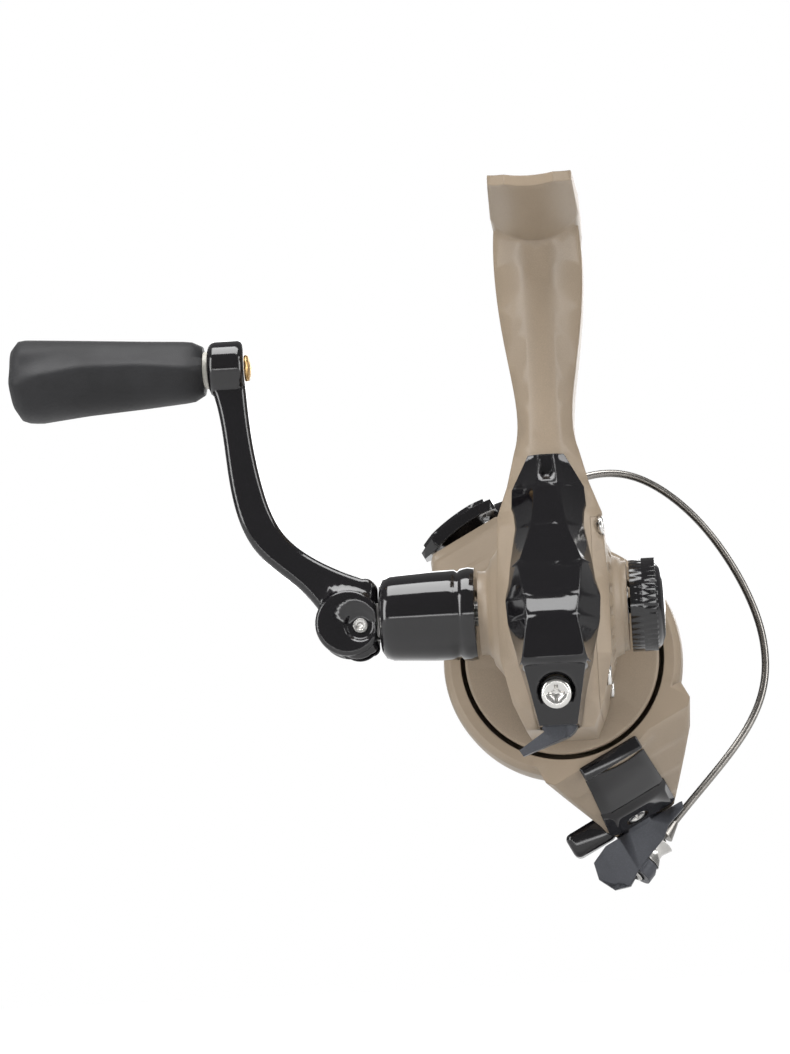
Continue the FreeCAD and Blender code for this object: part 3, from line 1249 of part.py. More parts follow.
def make_spool():
    inner_skirt = SKIRT_R - SKIRT_WALL
    hub_r = SHAFT_R + SLEEVE_WALL + RUN
    web = HUB_Y0 - 0.8
    profile = [(hub_r, web), (inner_skirt - 1.0, web), (inner_skirt, web - 1.0),
               (inner_skirt, SPOOL_REAR_Y + 0.5), (inner_skirt + 0.5, SPOOL_REAR_Y),
               (SKIRT_R, SPOOL_REAR_Y), (SKIRT_R, ARBOR_REAR_Y - 2.2), (SPOOL_R - 0.4, ARBOR_REAR_Y - 1.4),
               (SPOOL_R - 0.4, ARBOR_REAR_Y - 0.2), (SPOOL_R - 1.0, ARBOR_REAR_Y),
               (ARBOR_R, ARBOR_REAR_Y + 0.8), (ARBOR_R, ARBOR_FRONT_Y - 1.0),
               (LIP_SEAT_R, ARBOR_FRONT_Y), (LIP_SEAT_R, ARBOR_FRONT_Y + LIP_THICK),
               (RECESS_R + 1.4, ARBOR_FRONT_Y + LIP_THICK), (RECESS_R + 1.4, ARBOR_FRONT_Y + 0.4),
               (RECESS_R, ARBOR_FRONT_Y), (RECESS_R, RECESS_Y), (hub_r, RECESS_Y)]
    spool = turned_y(profile)
    hole = y_cyl(1.6, RECESS_Y - 12, ARBOR_REAR_Y + 1.2, 0, SPOOL_Z + SKIRT_R - 4.4)
    holes = polar_copies(hole, 8, Vec(0, 0, SPOOL_Z), Vec(0, 1, 0))
    return spool.cut(holes)


LIP_SEAT_R = ARBOR_R + 2.6


def make_spool_lip():
    profile = [(LIP_SEAT_R, ARBOR_FRONT_Y), (SPOOL_R - 0.6, ARBOR_FRONT_Y - 0.7),
               (SPOOL_R, ARBOR_FRONT_Y - 0.2), (SPOOL_R, ARBOR_FRONT_Y + 0.8),
               (SPOOL_R - 0.9, ARBOR_FRONT_Y + LIP_THICK - 0.2),
               (SPOOL_R - 2.0, ARBOR_FRONT_Y + LIP_THICK), (LIP_SEAT_R, ARBOR_FRONT_Y + LIP_THICK)]
    return turned_y(profile)


def make_line_clip():
    return x_ring(2.4, 0.9, SKIRT_R - 0.02, SKIRT_R + 0.7, ARBOR_REAR_Y - 6.5, SPOOL_Z).cut(
        y_cyl(SKIRT_R, 0, 90))


WASHER_T = 0.8


def drag_stack():
    """(start y, radius, hard) of each washer from the bottom of the recess."""
    stack = []
    y = RECESS_Y
    for i in range(6):
        stack.append((y, DRAG_R - (0.0 if i % 2 else 0.3), i % 2))
        y += WASHER_T
    return stack


def make_drag_washers(hard):
    bore = SHAFT_R + SLEEVE_WALL + 0.05
    return group([y_ring(radius, bore, y, y + WASHER_T)
                  for y, radius, kind in drag_stack() if kind == hard])


DRAG_CLIP_Y = RECESS_Y + 6 * WASHER_T + 0.1


def make_drag_clip():
    ring = y_ring(RECESS_R, RECESS_R - 1.1, DRAG_CLIP_Y, DRAG_CLIP_Y + 0.7)
    return ring.cut(box(-2, 2, 0, 90, SPOOL_Z, SPOOL_Z + 20))


# ---- the drag knob -------------------------------------------------------
KNOB_Y0 = ARBOR_FRONT_Y + 0.8


def make_drag_knob():
    """Front knob: skirted cup with three finger wings."""
    profile = [(0, KNOB_Y0 + 5.4), (7.0, KNOB_Y0 + 5.4), (7.0, KNOB_Y0), (RECESS_R - 1.2, KNOB_Y0),
               (RECESS_R - 1.2, KNOB_Y0 + 2.4), (RECESS_R + 0.4, KNOB_Y0 + 3.2),
               (RECESS_R + 0.4, KNOB_Y0 + 6.0), (RECESS_R - 1.2, KNOB_Y0 + 8.0),
               (RECESS_R - 3.4, KNOB_FRONT_Y - 3.0), (0, KNOB_FRONT_Y - 2.6)]
    cup = turned_y(profile)
    wing = box(-1.9, 1.9, KNOB_Y0 + 6.5, KNOB_FRONT_Y, SPOOL_Z + 1.0, SPOOL_Z + 9.2)
    wing = wing.makeFillet(1.2, [e for e in wing.Edges if abs(e.CenterOfMass.y - KNOB_FRONT_Y) < 1e-4])
    wings = polar_copies(wing, 3, Vec(0, 0, SPOOL_Z), Vec(0, 1, 0), 20)
    bore = y_cyl(SHAFT_R + GAP, KNOB_Y0 + 5, SHAFT_FRONT_Y + 1.0)
    pocket = y_prism(hexagon(7.1), KNOB_Y0 + 5.0, KNOB_Y0 + 8.0)
    return fuse([cup] + wings).cut([bore, pocket])


def make_drag_nut():
    nut = y_prism(hexagon(7.0), KNOB_Y0 + 5.4, KNOB_Y0 + 7.9)
    return nut.cut(y_cyl(SHAFT_R + 0.05, 0, 90))


def make_drag_spring():
    """Spring between the knob's nut and the top washer."""
    start = DRAG_CLIP_Y + 0.6
    length = KNOB_Y0 + 5.1 - start - 0.6
    turns = 4
    helix = Part.makeHelix(length / turns, length, 4.4)
    ring = Part.Wire([Part.makeCircle(0.4, Vec(4.4, 0, 0), Vec(0, 1, 0))])
    coil = Part.Wire(helix.Edges).makePipeShell([ring], True, True)
    coil.rotate(Vec(0, 0, 0), Vec(1, 0, 0), -90)
    coil.translate(Vec(0, start, SPOOL_Z))
    return coil


# ---- every node ----------------------------------------------------------
def make_all():
    whole = case_whole()
    frame = make_body_frame(whole, case_cavity()).cut(clutch_screw_holes())
    frame = frame.cut(x_cyl(1.2, -7.2, OSC_X0, OSC_Y, OSC_Z))
    nodes = {
        "body_frame": frame,
        "side_cover": make_side_cover(whole),
        "side_cover_screws": make_side_screws(),
        "rear_cover": make_rear_cover(whole),
        "rear_cover_screw": make_rear_cover_screw(),
        "gear_bearings": make_gear_bearings(),
        "pinion_bearing": bearing(BEARING_R, PINION_JOURNAL_R + RUN, BEARING_Y, BEARING_WIDTH,
                                  y_ring, SPOOL_Z),
        "pinion_bush": make_pinion_bush(),
        "clutch_ring": make_clutch_ring(),
        "clutch_rollers": make_clutch_rollers(),
        "clutch_plate": make_clutch_plate(),
        "clutch_plate_screws": make_clutch_screws(),
        "rotor_brake_ring": make_brake_ring(),
        "slider_guide_rod": make_guide_rod(),
        "oscillation_gear_axle": make_osc_axle(),
        "anti_reverse_switch": make_switch(),
        "drive_gear": make_drive_gear(),
        "oscillation_drive_pinion": make_osc_driver(),
        "handle_sleeve": make_handle_sleeve(),
        "handle_shaft": make_handle_shaft(),
        "handle_joint": make_handle_joint(),
        "handle_arm": make_handle_arm(),
        "elbow_pin": make_elbow_pin(),
        "knob_shank": make_knob_shank(),
        "knob_rivet": make_knob_rivet(),
        "knob_washer": make_knob_washer(),
        "handle_knob": make_handle_knob(),
        "handle_screw_cap": make_handle_cap(),
        "oscillation_gear": make_osc_gear(),
        "pinion_gear": make_pinion(),
        "clutch_sleeve": make_clutch_sleeve(),
        "rotor": make_rotor(),
        "rotor_nut": make_rotor_nut(),
        "rotor_nut_lock": make_nut_lock(),
        "rotor_nut_lock_screw": make_nut_lock_screw(),
        "bail_trip_lever": make_trip_lever(),
        "bail_spring": make_bail_spring(),
        "rotor_arm_cover": make_arm_cover(),
        "rotor_arm_cover_screw": make_arm_cover_screw(),
        "bail_arm": make_bail_arm(),
        "bail_pivot_screws": make_bail_pivot_screws(),
        "bail_stop": make_bail_stop(),
        "bail_wire": make_bail_wire(),
        "bail_holder": make_bail_holder(),
        "line_roller": make_line_roller(),
        "line_roller_bush": make_roller_bush(),
        "line_roller_screw": make_roller_screw(),
        "main_shaft": make_main_shaft(),
        "slider_block": make_slider(),
        "slider_screw": make_slider_pin(),
        "spool_sleeve": make_spool_sleeve(),
        "spool_click_gear": make_click_gear(),
        "spool": make_spool(),
        "spool_lip": make_spool_lip(),
        "drag_washers": group(make_drag_washers(0).Solids + make_drag_washers(1).Solids),
        "drag_clip": make_drag_clip(),
        "line_clip": make_line_clip(),
        "drag_knob": make_drag_knob(),
        "drag_nut": make_drag_nut(),
        "drag_spring": make_drag_spring(),
    }
    return nodes


def main():
    os.makedirs("parts", exist_ok=True)
    for name, shape in make_all().items():
        shape.exportStep("parts/" + name + ".step")


main()
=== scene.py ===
"""Looks of a fixed-spool fishing reel: paint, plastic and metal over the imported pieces."""

import json
from math import cos, exp, radians, sin

import bmesh
import bpy
from bpy.props import FloatProperty, FloatVectorProperty, IntProperty, PointerProperty
from mathutils import Matrix, Vector


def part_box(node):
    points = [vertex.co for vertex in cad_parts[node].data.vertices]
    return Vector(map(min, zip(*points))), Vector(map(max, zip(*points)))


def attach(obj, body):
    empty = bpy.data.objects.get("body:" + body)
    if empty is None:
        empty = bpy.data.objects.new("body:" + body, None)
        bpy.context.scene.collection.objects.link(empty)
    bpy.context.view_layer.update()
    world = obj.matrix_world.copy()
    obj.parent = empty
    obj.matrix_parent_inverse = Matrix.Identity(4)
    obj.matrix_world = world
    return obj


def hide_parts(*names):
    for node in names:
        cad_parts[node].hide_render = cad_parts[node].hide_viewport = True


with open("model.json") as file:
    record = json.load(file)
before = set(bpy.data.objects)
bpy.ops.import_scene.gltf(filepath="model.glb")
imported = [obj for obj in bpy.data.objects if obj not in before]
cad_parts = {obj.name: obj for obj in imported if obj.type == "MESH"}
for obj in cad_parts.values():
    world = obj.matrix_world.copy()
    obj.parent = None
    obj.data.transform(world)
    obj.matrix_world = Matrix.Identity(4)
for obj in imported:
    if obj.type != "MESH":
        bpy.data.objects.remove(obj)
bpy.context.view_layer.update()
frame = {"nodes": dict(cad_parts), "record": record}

bl_info = {
    "name": "Spinning Reel",
    "version": (1, 0, 0),
    "blender": (4, 5, 0),
    "location": "View3D > Sidebar > Reel",
    "description": "Builds the finishes, the grip and the stage of a fixed-spool fishing reel",
    "category": "Object",
}

# ---- measures, in metres and radians unless a line says otherwise ----------------

HANDLE_AXIS_Z = -0.0725
SPOOL_AXIS_Z = -0.0795
GRIP_AXIS_Z = -0.0249
ROTOR_REST = radians(-28.0)
MERGE_DISTANCE = 0.0000015
SHARP_ANGLE = 26.0              # degrees: a steeper step between two faces stays sharp
CRANK_SHARP_ANGLE = 32.0
BLOCK_SHARP_ANGLE = 40.0
GRIP_SHARP_ANGLE = 60.0

# blocks on the rotor, in millimetres: beside and along the bail's axis, forward, corner radius in metres
STOP_BLOCK = ((-17.0, -8.0), (27.3, 32.4), (42.1, 50.3), 0.0013)
COVER_TONGUE = ((-8.0, 4.2), (19.3, 22.0), (17.75, 19.6), 0.0004)

# the wire's line in millimetres, and the direction it leaves its cone in
WIRE_ROOT = (0.6148, 0.2400, 0.7513)
WIRE_POINTS = (
    (16.70, 48.33, -112.25), (19.60, 49.50, -108.70), (25.60, 52.00, -102.20), (34.00, 55.40, -92.80),
    (38.20, 57.50, -84.60), (39.05, 58.50, -77.00), (37.90, 58.90, -69.20), (34.00, 58.90, -59.60),
    (27.60, 58.40, -49.50), (19.50, 57.30, -42.20), (12.00, 56.00, -39.20), (4.00, 54.10, -40.20),
    (-4.50, 51.80, -43.80), (-9.80, 50.40, -46.05),
)
CONE_WIDE, CONE_NARROW, CONE_LENGTH, CONE_MIDDLE = 0.0019, 0.0009, 0.0034, 0.0021

GRIP_LEVELS = (
    # share of the length, half depth, lowest, highest, ridge: millimetres from the handle's axis
    (0.0, 4.4, 43.0, 52.0, 47.0), (0.03, 5.5, 42.1, 52.8, 46.8), (0.08, 5.9, 41.8, 53.1, 46.8),
    (0.30, 6.6, 41.2, 53.6, 47.9), (0.62, 7.6, 40.5, 54.4, 48.0), (0.87, 8.4, 39.6, 55.0, 46.3),
    (0.955, 8.1, 39.9, 55.2, 45.6), (0.985, 7.3, 41.0, 54.6, 45.6), (1.0, 6.3, 42.2, 53.6, 46.0),
)
RIDGE_WIDTH = 1.5               # millimetres, like the next two
HOLLOW_ABOVE = 3.6              # from the ridge up to the hollow beside it
HOLLOW_WIDTH = 2.2
HOLLOW_SHARE = 0.9              # the hollow's depth as a share of the ridge's
RIDGE_SHARE = 0.8
GRIP_CROWDING = 0.9             # below 1, the rows of points stand closer at the far end
GRIP_DISH = ((0.80, 0.0003), (0.45, 0.0008), (0.12, 0.0010))    # share of the width, depth
BORE_RADIUS, BORE_WALL = 0.00196, 0.0056
RING_POINTS = 64

REEL_MIDDLE = (-0.01, 0.02, -0.07)
LIGHTS = (
    # name, place, target, width and height, watts
    ("soft_left", (-0.72, -0.42, 0.02), REEL_MIDDLE, (0.30, 1.0), 6.0),
    ("soft_right", (0.74, -0.34, 0.02), REEL_MIDDLE, (0.30, 1.0), 5.0),
    ("soft_top", (-0.05, -0.22, 0.72), REEL_MIDDLE, (0.8, 0.5), 8.5),
    ("soft_low_rear", (0.0, -0.70, -0.13), (-0.01, 0.0, -0.07), (0.9, 0.03), 0.5),
    ("soft_ahead", (0.1, 0.9, 0.25), REEL_MIDDLE, (0.8, 0.5), 4.0),
)
FLOOR_SIZE = 60.0
FLOOR_GLOW = 0.88
WORLD_SEEN, WORLD_LIT = 1.0, 0.24
CAMERA_PLACE = (0.01810, -0.59233, -0.13937)
CAMERA_TURN, CAMERA_RISE, CAMERA_ROLL = radians(4.5), radians(8.0), radians(2.6)


# ---- settings --------------------------------------------------------------------

def colour(name, description, default):
    return FloatVectorProperty(name=name, description=description, default=default, subtype="COLOR",
                               size=3, min=0.0, max=1.0)


def length(name, description, default, low, high):
    return FloatProperty(name=name, description=description, default=default, min=low, max=high,
                         precision=5, unit="LENGTH")


class ReelColours(bpy.types.PropertyGroup):
    """Base colours of the finishes."""
    tan: colour("Tan paint", "Satin paint on the frame, cover and rotor", (0.262, 0.205, 0.146))
    gloss: colour("Black gloss", "Moulded gloss black trim", (0.0050, 0.0045, 0.0055))
    cast: colour("Black enamel", "Enamel on the crank and its sleeve", (0.0050, 0.0045, 0.0055))
    lever: colour("Bail lever grey", "Satin grey plastic of the bail lever", (0.060, 0.063, 0.073))
    grip: colour("Grip", "Soft-touch coating of the knob", (0.013, 0.013, 0.0145))
    steel: colour("Steel", "Turned and ground steel", (0.56, 0.55, 0.53))
    wire: colour("Bail wire", "Drawn stainless wire", (0.30, 0.285, 0.265))
    brass: colour("Brass", "Gears, washers and rivet", (0.70, 0.46, 0.20))
    alloy: colour("Alloy", "Bare machined alloy", (0.62, 0.62, 0.63))
    spool: colour("Spool", "Anodised spool", (0.030, 0.030, 0.034))


class ReelSizes(bpy.types.PropertyGroup):
    """Sizes of the finishes' detail and of the stage."""
    soft_edge: length("Edge radius", "Radius that moulded and painted edges seem to have",
                      0.00035, 0.0, 0.002)
    fine_edge: length("Machined edge radius", "Radius of the edges on metal parts", 0.00015, 0.0, 0.001)
    grain: length("Paint grain", "Size of the speckle in the satin paint", 0.00016, 0.00002, 0.002)
    stipple: length("Grip stipple", "Size of the stipple on the grip", 0.00022, 0.00005, 0.002)
    ridge: length("Grip ridge", "How far the grip's ridge stands out", 0.0010, 0.0, 0.003)
    rings: IntProperty(name="Grip rings", description="Rows of points along the grip", default=26,
                       min=8, max=60)
    wire: length("Wire radius", "Radius of the bail wire", 0.00075, 0.0004, 0.0015)
    floor_drop: length("Floor drop", "From the origin down to the floor", 0.146, 0.13, 0.3)
    lens: FloatProperty(name="Lens", description="Camera's focal length", default=112.7,
                        min=35.0, max=200.0, unit="CAMERA")


# ---- shader sums ---------------------------------------------------------------

class Term:
    """A shader socket, which adds Math nodes when it stands in a sum."""

    def __init__(self, net, socket):
        self.net = net
        self.socket = socket

    def math(self, operation, first, second):
        return self.net.node("ShaderNodeMath", {"operation": operation}, {0: first, 1: second})

    def __add__(self, other):
        return self.math("ADD", self, other)

    def __radd__(self, other):
        return self.math("ADD", other, self)

    def __sub__(self, other):
        return self.math("SUBTRACT", self, other)

    def __rsub__(self, other):
        return self.math("SUBTRACT", other, self)

    def __mul__(self, other):
        return self.math("MULTIPLY", self, other)

    def __rmul__(self, other):
        return self.math("MULTIPLY", other, self)


class Net:
    """Adds nodes to one material."""

    def __init__(self, name):
        self.material = bpy.data.materials.new(name)
        self.material.use_nodes = True
        self.tree = self.material.node_tree
        self.shader = self.tree.nodes["Principled BSDF"]
        self.place = self.node("ShaderNodeTexCoord", output="Object")

    def node(self, kind, settings=None, inputs=None, output=0):
        made = self.tree.nodes.new(kind)
        for name, value in (settings or {}).items():
            if name == "stops":
                ramp = made.color_ramp
                for stop in range(2, len(value)):
                    ramp.elements.new(stop / len(value))
                for i, (position, shade) in enumerate(value):
                    ramp.elements[i].position = position
                    ramp.elements[i].color = (shade, shade, shade, 1)
            else:
                setattr(made, name, value)
        for key, value in (inputs or {}).items():
            self.feed(made.inputs[key], value)
        return Term(self, made.outputs[output])

    def feed(self, socket, value):
        if isinstance(value, Term):
            self.tree.links.new(value.socket, socket)
        else:
            socket.default_value = value

    def noise(self, size, detail=3.0, roughness=0.55, stretch=(1, 1, 1)):
        """Cloudy noise from 0 to 1 whose lumps are about size across, in metres."""
        at = self.node("ShaderNodeMapping", {}, {"Vector": self.place, "Scale": stretch})
        return self.node("ShaderNodeTexNoise", {}, {"Vector": at, "Scale": 1 / size, "Detail": detail,
                                                    "Roughness": roughness})

    def ramp(self, value, *stops):
        return self.node("ShaderNodeValToRGB", {"stops": stops}, {"Fac": value})

    def between(self, share, first, second):
        """Colour that goes from first to second."""
        return self.node("ShaderNodeMix", {"data_type": "RGBA"},
                         {0: share, 6: rgba(first), 7: rgba(second)}, 2)

    def bump(self, height, depth, radius):
        """Relief of a depth in metres over edges that seem to have a radius."""
        rounded = self.node("ShaderNodeBevel", {"samples": 4}, {"Radius": radius})
        return self.node("ShaderNodeBump", {}, {"Height": height, "Distance": depth, "Normal": rounded})

    def surface(self, **values):
        """Sets or links the shader's own sockets; an underscore stands for a space."""
        for key, value in values.items():
            self.feed(self.shader.inputs[key.replace("_", " ")], value)
        return self.material


def rgba(value):
    return value if isinstance(value, Term) else (*value, 1.0)


def scaled(value, factor):
    return tuple(min(1.0, part * factor) for part in value)


def satin_paint(name, base, sizes):
    """Sprayed satin paint: cloudy tone, a fine speckle and paler rubbed edges."""
    net = Net(name)
    cloud = net.noise(0.011, 4.0)
    speckle = net.noise(sizes.grain, 2.0, 0.7)
    rub = net.noise(0.0016, 5.0, 0.7)
    edge = net.node("ShaderNodeNewGeometry", output="Pointiness")
    worn = net.ramp(edge + rub * 0.03, (0.535, 0.0), (0.60, 1.0))
    patches = net.ramp(cloud, (0.32, 0.0), (0.72, 1.0))
    tone = net.between(patches, scaled(base, 0.94), scaled(base, 1.06))
    grainy = net.between(net.ramp(speckle, (0.40, 0.0), (0.68, 1.0)), tone, scaled(base, 1.16))
    face = net.between(worn * 0.35, grainy, scaled(base, 1.45))
    rough = 0.40 + cloud * 0.06 + speckle * 0.10 - worn * 0.06
    height = speckle * 0.7 + net.noise(0.0011, 2.0) * 0.3
    return net.surface(Base_Color=face, Roughness=rough, Metallic=0.0, Specular_IOR_Level=0.55,
                       Coat_Weight=0.12, Coat_Roughness=0.32,
                       Normal=net.bump(height, 0.000012, sizes.soft_edge))


def gloss_black(name, base, sizes, peel=0.0016, rough=0.055, coat=0.25):
    """Polished black moulding or enamel: slight orange peel, dust and hairlines."""
    net = Net(name)
    skin = net.noise(peel, 1.0, 0.3)
    haze = net.noise(0.006, 4.0, 0.6)
    hairs = net.noise(0.0011, 2.0, 0.5, (1.0, 9.0, 0.25))
    line = net.ramp(hairs, (0.64, 0.0), (0.67, 1.0), (0.70, 0.0))
    dust = net.node("ShaderNodeTexVoronoi", {}, {"Vector": net.place, "Scale": 1500.0}, "Distance")
    mote = net.ramp(dust, (0.035, 1.0), (0.06, 0.0))
    seen = mote * net.ramp(haze, (0.62, 0.0), (0.68, 1.0))
    clean = net.between(haze, scaled(base, 0.85), scaled(base, 1.25))
    face = net.between(seen * 0.12, clean, (0.10, 0.095, 0.09))
    gloss = rough + haze * 0.05 + line * 0.03 + seen * 0.08
    return net.surface(Base_Color=face, Roughness=gloss, Specular_IOR_Level=0.5, Coat_Weight=coat,
                       Coat_Roughness=0.04, Normal=net.bump(skin, 0.0000040, sizes.soft_edge))


def satin_plastic(name, base, sizes):
    """Spark-eroded satin moulding with a metallic fleck."""
    net = Net(name)
    grain = net.noise(0.00013, 2.0, 0.6)
    cloud = net.noise(0.004, 4.0)
    fleck = net.ramp(grain, (0.50, 0.0), (0.72, 1.0))
    tone = net.between(cloud, scaled(base, 0.82), scaled(base, 1.2))
    face = net.between(fleck * 0.35, tone, scaled(base, 2.4))
    return net.surface(Base_Color=face, Roughness=0.27 + cloud * 0.08 + grain * 0.08, Metallic=0.35,
                       Specular_IOR_Level=0.5, Normal=net.bump(grain, 0.000010, sizes.soft_edge))


def soft_touch(name, base, sizes):
    """Rubbery coating: fine stipple, polished where the hand rubs it."""
    net = Net(name)
    pit = net.node("ShaderNodeTexVoronoi", {}, {"Vector": net.place, "Scale": 1 / sizes.stipple},
                   "Distance")
    skin = net.noise(0.0007, 3.0, 0.6)
    rubbed = net.ramp(net.noise(0.013, 3.0, 0.5), (0.38, 0.0), (0.70, 1.0))
    face = net.between(rubbed, scaled(base, 0.85), scaled(base, 1.35))
    height = pit * 0.6 + skin * 0.5
    return net.surface(Base_Color=face, Roughness=0.56 - rubbed * 0.10 + skin * 0.08,
                       Specular_IOR_Level=0.35, Sheen_Weight=0.06, Sheen_Roughness=0.5,
                       Normal=net.bump(height, 0.000035, 0.0004))


def machined(name, base, sizes, stretch=(1, 60, 1), rough=0.22, size=0.004, depth=0.000003):
    """Metal with fine tool lines along one direction and a little staining."""
    net = Net(name)
    lines = net.noise(size, 3.0, 0.6, stretch)
    stain = net.noise(0.005, 4.0, 0.6)
    face = net.between(net.ramp(stain, (0.35, 0.0), (0.75, 1.0)), scaled(base, 0.80), scaled(base, 1.10))
    return net.surface(Base_Color=face, Metallic=1.0, Roughness=rough + lines * 0.16 + stain * 0.06,
                       Normal=net.bump(lines, depth, sizes.fine_edge))


def anodised(name, base, sizes):
    """Dyed anodised alloy with turning rings round the spool's axis."""
    net = Net(name)
    rings = net.noise(0.0030, 2.0, 0.5, (0.02, 14.0, 0.02))
    stain = net.noise(0.007, 4.0)
    face = net.between(stain, scaled(base, 0.8), scaled(base, 1.4))
    return net.surface(Base_Color=face, Metallic=0.75, Roughness=0.20 + rings * 0.18,
                       Normal=net.bump(rings, 0.000004, sizes.fine_edge))


def rubbery(name, base, sizes, size=0.0005, rough=0.65, depth=0.00003):
    """Matt rubber, felt or fibre: a mottled tone with a rough skin."""
    net = Net(name)
    skin = net.noise(size, 5.0, 0.7)
    face = net.between(skin, scaled(base, 0.6), scaled(base, 1.5))
    return net.surface(Base_Color=face, Roughness=rough + skin * 0.12, Sheen_Weight=0.1,
                       Normal=net.bump(skin, depth, sizes.fine_edge))


def finishes():
    """Every finish of the reel, by its slot."""
    tones, sizes = bpy.context.scene.reel_colours, bpy.context.scene.reel_sizes
    return {
        "tan": satin_paint("tan_satin_paint", tones.tan, sizes),
        "black_gloss": gloss_black("black_gloss_moulding", tones.gloss, sizes),
        "black_metal": gloss_black("black_enamel", tones.cast, sizes, peel=0.0026, rough=0.05, coat=0.4),
        "grey_plastic": satin_plastic("grey_satin_moulding", tones.lever, sizes),
        "soft_grip": soft_touch("soft_touch_grip", tones.grip, sizes),
        "steel": machined("ground_steel", tones.steel, sizes),
        "wire": machined("drawn_wire", tones.wire, sizes, stretch=(1, 1, 1), rough=0.17, depth=0.0000003),
        "screw_steel": machined("bright_screw_steel", scaled(tones.steel, 1.35), sizes, stretch=(3, 3, 3),
                                rough=0.12, size=0.0012),
        "brass": machined("turned_brass", tones.brass, sizes, stretch=(8, 8, 8), rough=0.24, size=0.003),
        "aluminium": machined("bare_alloy", tones.alloy, sizes, stretch=(4, 60, 4), rough=0.28),
        "rubber": rubbery("black_rubber", (0.022, 0.022, 0.023), sizes),
        "spool_black": anodised("black_anodised", tones.spool, sizes),
        "felt": rubbery("oiled_felt", (0.12, 0.10, 0.075), sizes, size=0.0002, rough=0.8, depth=0.00006),
        "nylon": rubbery("white_nylon", (0.62, 0.60, 0.54), sizes, size=0.0008, rough=0.38, depth=0.00001),
    }


# ---- pieces ----------------------------------------------------------------------

def body_of(node):
    bodies = frame["record"]["behaviour"]["bodies"]
    return next(body for body, nodes in bodies.items() if node in nodes)


def slot_of(node):
    return frame["nodes"][node].data.materials[0].name.split(".")[0]


def rounded_block(beside, along, deep, radius):
    """Rounded block on the rotor, from its two sides in each direction."""
    work = bmesh.new()
    bmesh.ops.create_cube(work, size=0.001)
    size = [span[1] - span[0] for span in (beside, deep, along)]
    bmesh.ops.scale(work, vec=size, verts=work.verts)
    bmesh.ops.bevel(work, geom=list(work.edges), offset=radius, offset_type="OFFSET", segments=5,
                    profile=0.5, affect="EDGES", clamp_overlap=True, material=-1)
    middle = Vector((sum(beside), sum(deep), -sum(along))) / 2000
    turn = Matrix.Translation((0, 0, SPOOL_AXIS_Z)) @ Matrix.Rotation(ROTOR_REST, 4, "Y")
    bmesh.ops.transform(work, matrix=turn @ Matrix.Translation(middle), verts=work.verts)
    return work


def add_piece(name, work, node, slot, sharp_angle, instead=True):
    """Makes a finished piece from a bmesh, on a CAD node's body and usually instead of the node."""
    mesh = bpy.data.meshes.new(name)
    for face in work.faces:
        face.smooth = True
    work.to_mesh(mesh)
    work.free()
    mesh.set_sharp_from_angle(angle=radians(sharp_angle))
    mesh.materials.append(PAINTS[slot])
    piece = bpy.data.objects.new(name, mesh)
    bpy.context.scene.collection.objects.link(piece)
    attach(piece, body_of(node))
    if instead:
        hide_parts(node)


def smooth_copy(node, sharp_angle):
    """Merged copy of a CAD node whose curved faces shade as one surface."""
    work = bmesh.new()
    work.from_mesh(frame["nodes"][node].data)
    bmesh.ops.remove_doubles(work, verts=work.verts, dist=MERGE_DISTANCE)
    add_piece("finished_" + node, work, node, slot_of(node), sharp_angle)


def grip_level(share):
    """The grip's half depth, lowest, highest and ridge at a share of its length."""
    for first, last in zip(GRIP_LEVELS, GRIP_LEVELS[1:]):
        if share <= last[0]:
            part = (share - first[0]) / (last[0] - first[0])
            return [a + (b - a) * part for a, b in zip(first[1:], last[1:])]
    return GRIP_LEVELS[-1][1:]


def grip_ring(work, share, start, reach, ridge):
    """One row of points round the grip, with the ridge on its broad faces."""
    depth, lowest, highest, crest = grip_level(share)
    ring = bmesh.ops.create_circle(work, segments=RING_POINTS, radius=1.0)["verts"]
    for vert in ring:
        up = (lowest + highest) / 2 + (highest - lowest) / 2 * vert.co.x
        side = depth * vert.co.y
        hollow = exp(-((up - crest - HOLLOW_ABOVE) / HOLLOW_WIDTH) ** 2)
        bulge = exp(-((up - crest) / RIDGE_WIDTH) ** 2) - HOLLOW_SHARE * hollow
        side += ridge * 1000 * bulge * vert.co.y * RIDGE_SHARE
        vert.co = (start - reach * share, side / 1000, HANDLE_AXIS_Z + up / 1000)
    return ring


def grip_bore(work, x, axis):
    """One row of points round the bore."""
    ring = bmesh.ops.create_circle(work, segments=RING_POINTS, radius=BORE_RADIUS)["verts"]
    for vert in ring:
        vert.co = (x, axis[1] + vert.co.y, axis[2] + vert.co.x)
    return ring


class ReelOperator:
    """Finishes copies of its nodes; shared by the operators below."""
    bl_options = {"REGISTER", "UNDO"}
    nodes = ()
    angle = SHARP_ANGLE

    def execute(self, context):
        for node in self.nodes:
            smooth_copy(node, self.angle)
        return {"FINISHED"}


class REEL_OT_frame(ReelOperator, bpy.types.Operator):
    """Frame with its foot, the side cover and the rear cover"""
    bl_idname = "reel.frame"
    bl_label = "Frame and covers"
    nodes = ("body_frame", "side_cover", "rear_cover", "side_cover_screws", "rear_cover_screw")


class REEL_OT_switch(ReelOperator, bpy.types.Operator):
    """Anti-reverse lever under the rear cover"""
    bl_idname = "reel.switch"
    bl_label = "Anti-reverse lever"
    nodes = ("anti_reverse_switch",)


class REEL_OT_rotor(ReelOperator, bpy.types.Operator):
    """Rotor, the cover on its arm and the stop block"""
    bl_idname = "reel.rotor"
    bl_label = "Rotor"
    nodes = ("rotor", "rotor_arm_cover", "rotor_arm_cover_screw")

    def execute(self, context):
        super().execute(context)
        add_piece("bail_stop_block", rounded_block(*STOP_BLOCK), "bail_stop", "black_gloss",
                  BLOCK_SHARP_ANGLE)
        add_piece("arm_cover_tongue", rounded_block(*COVER_TONGUE), "rotor_arm_cover", "black_gloss",
                  BLOCK_SHARP_ANGLE, instead=False)
        return {"FINISHED"}


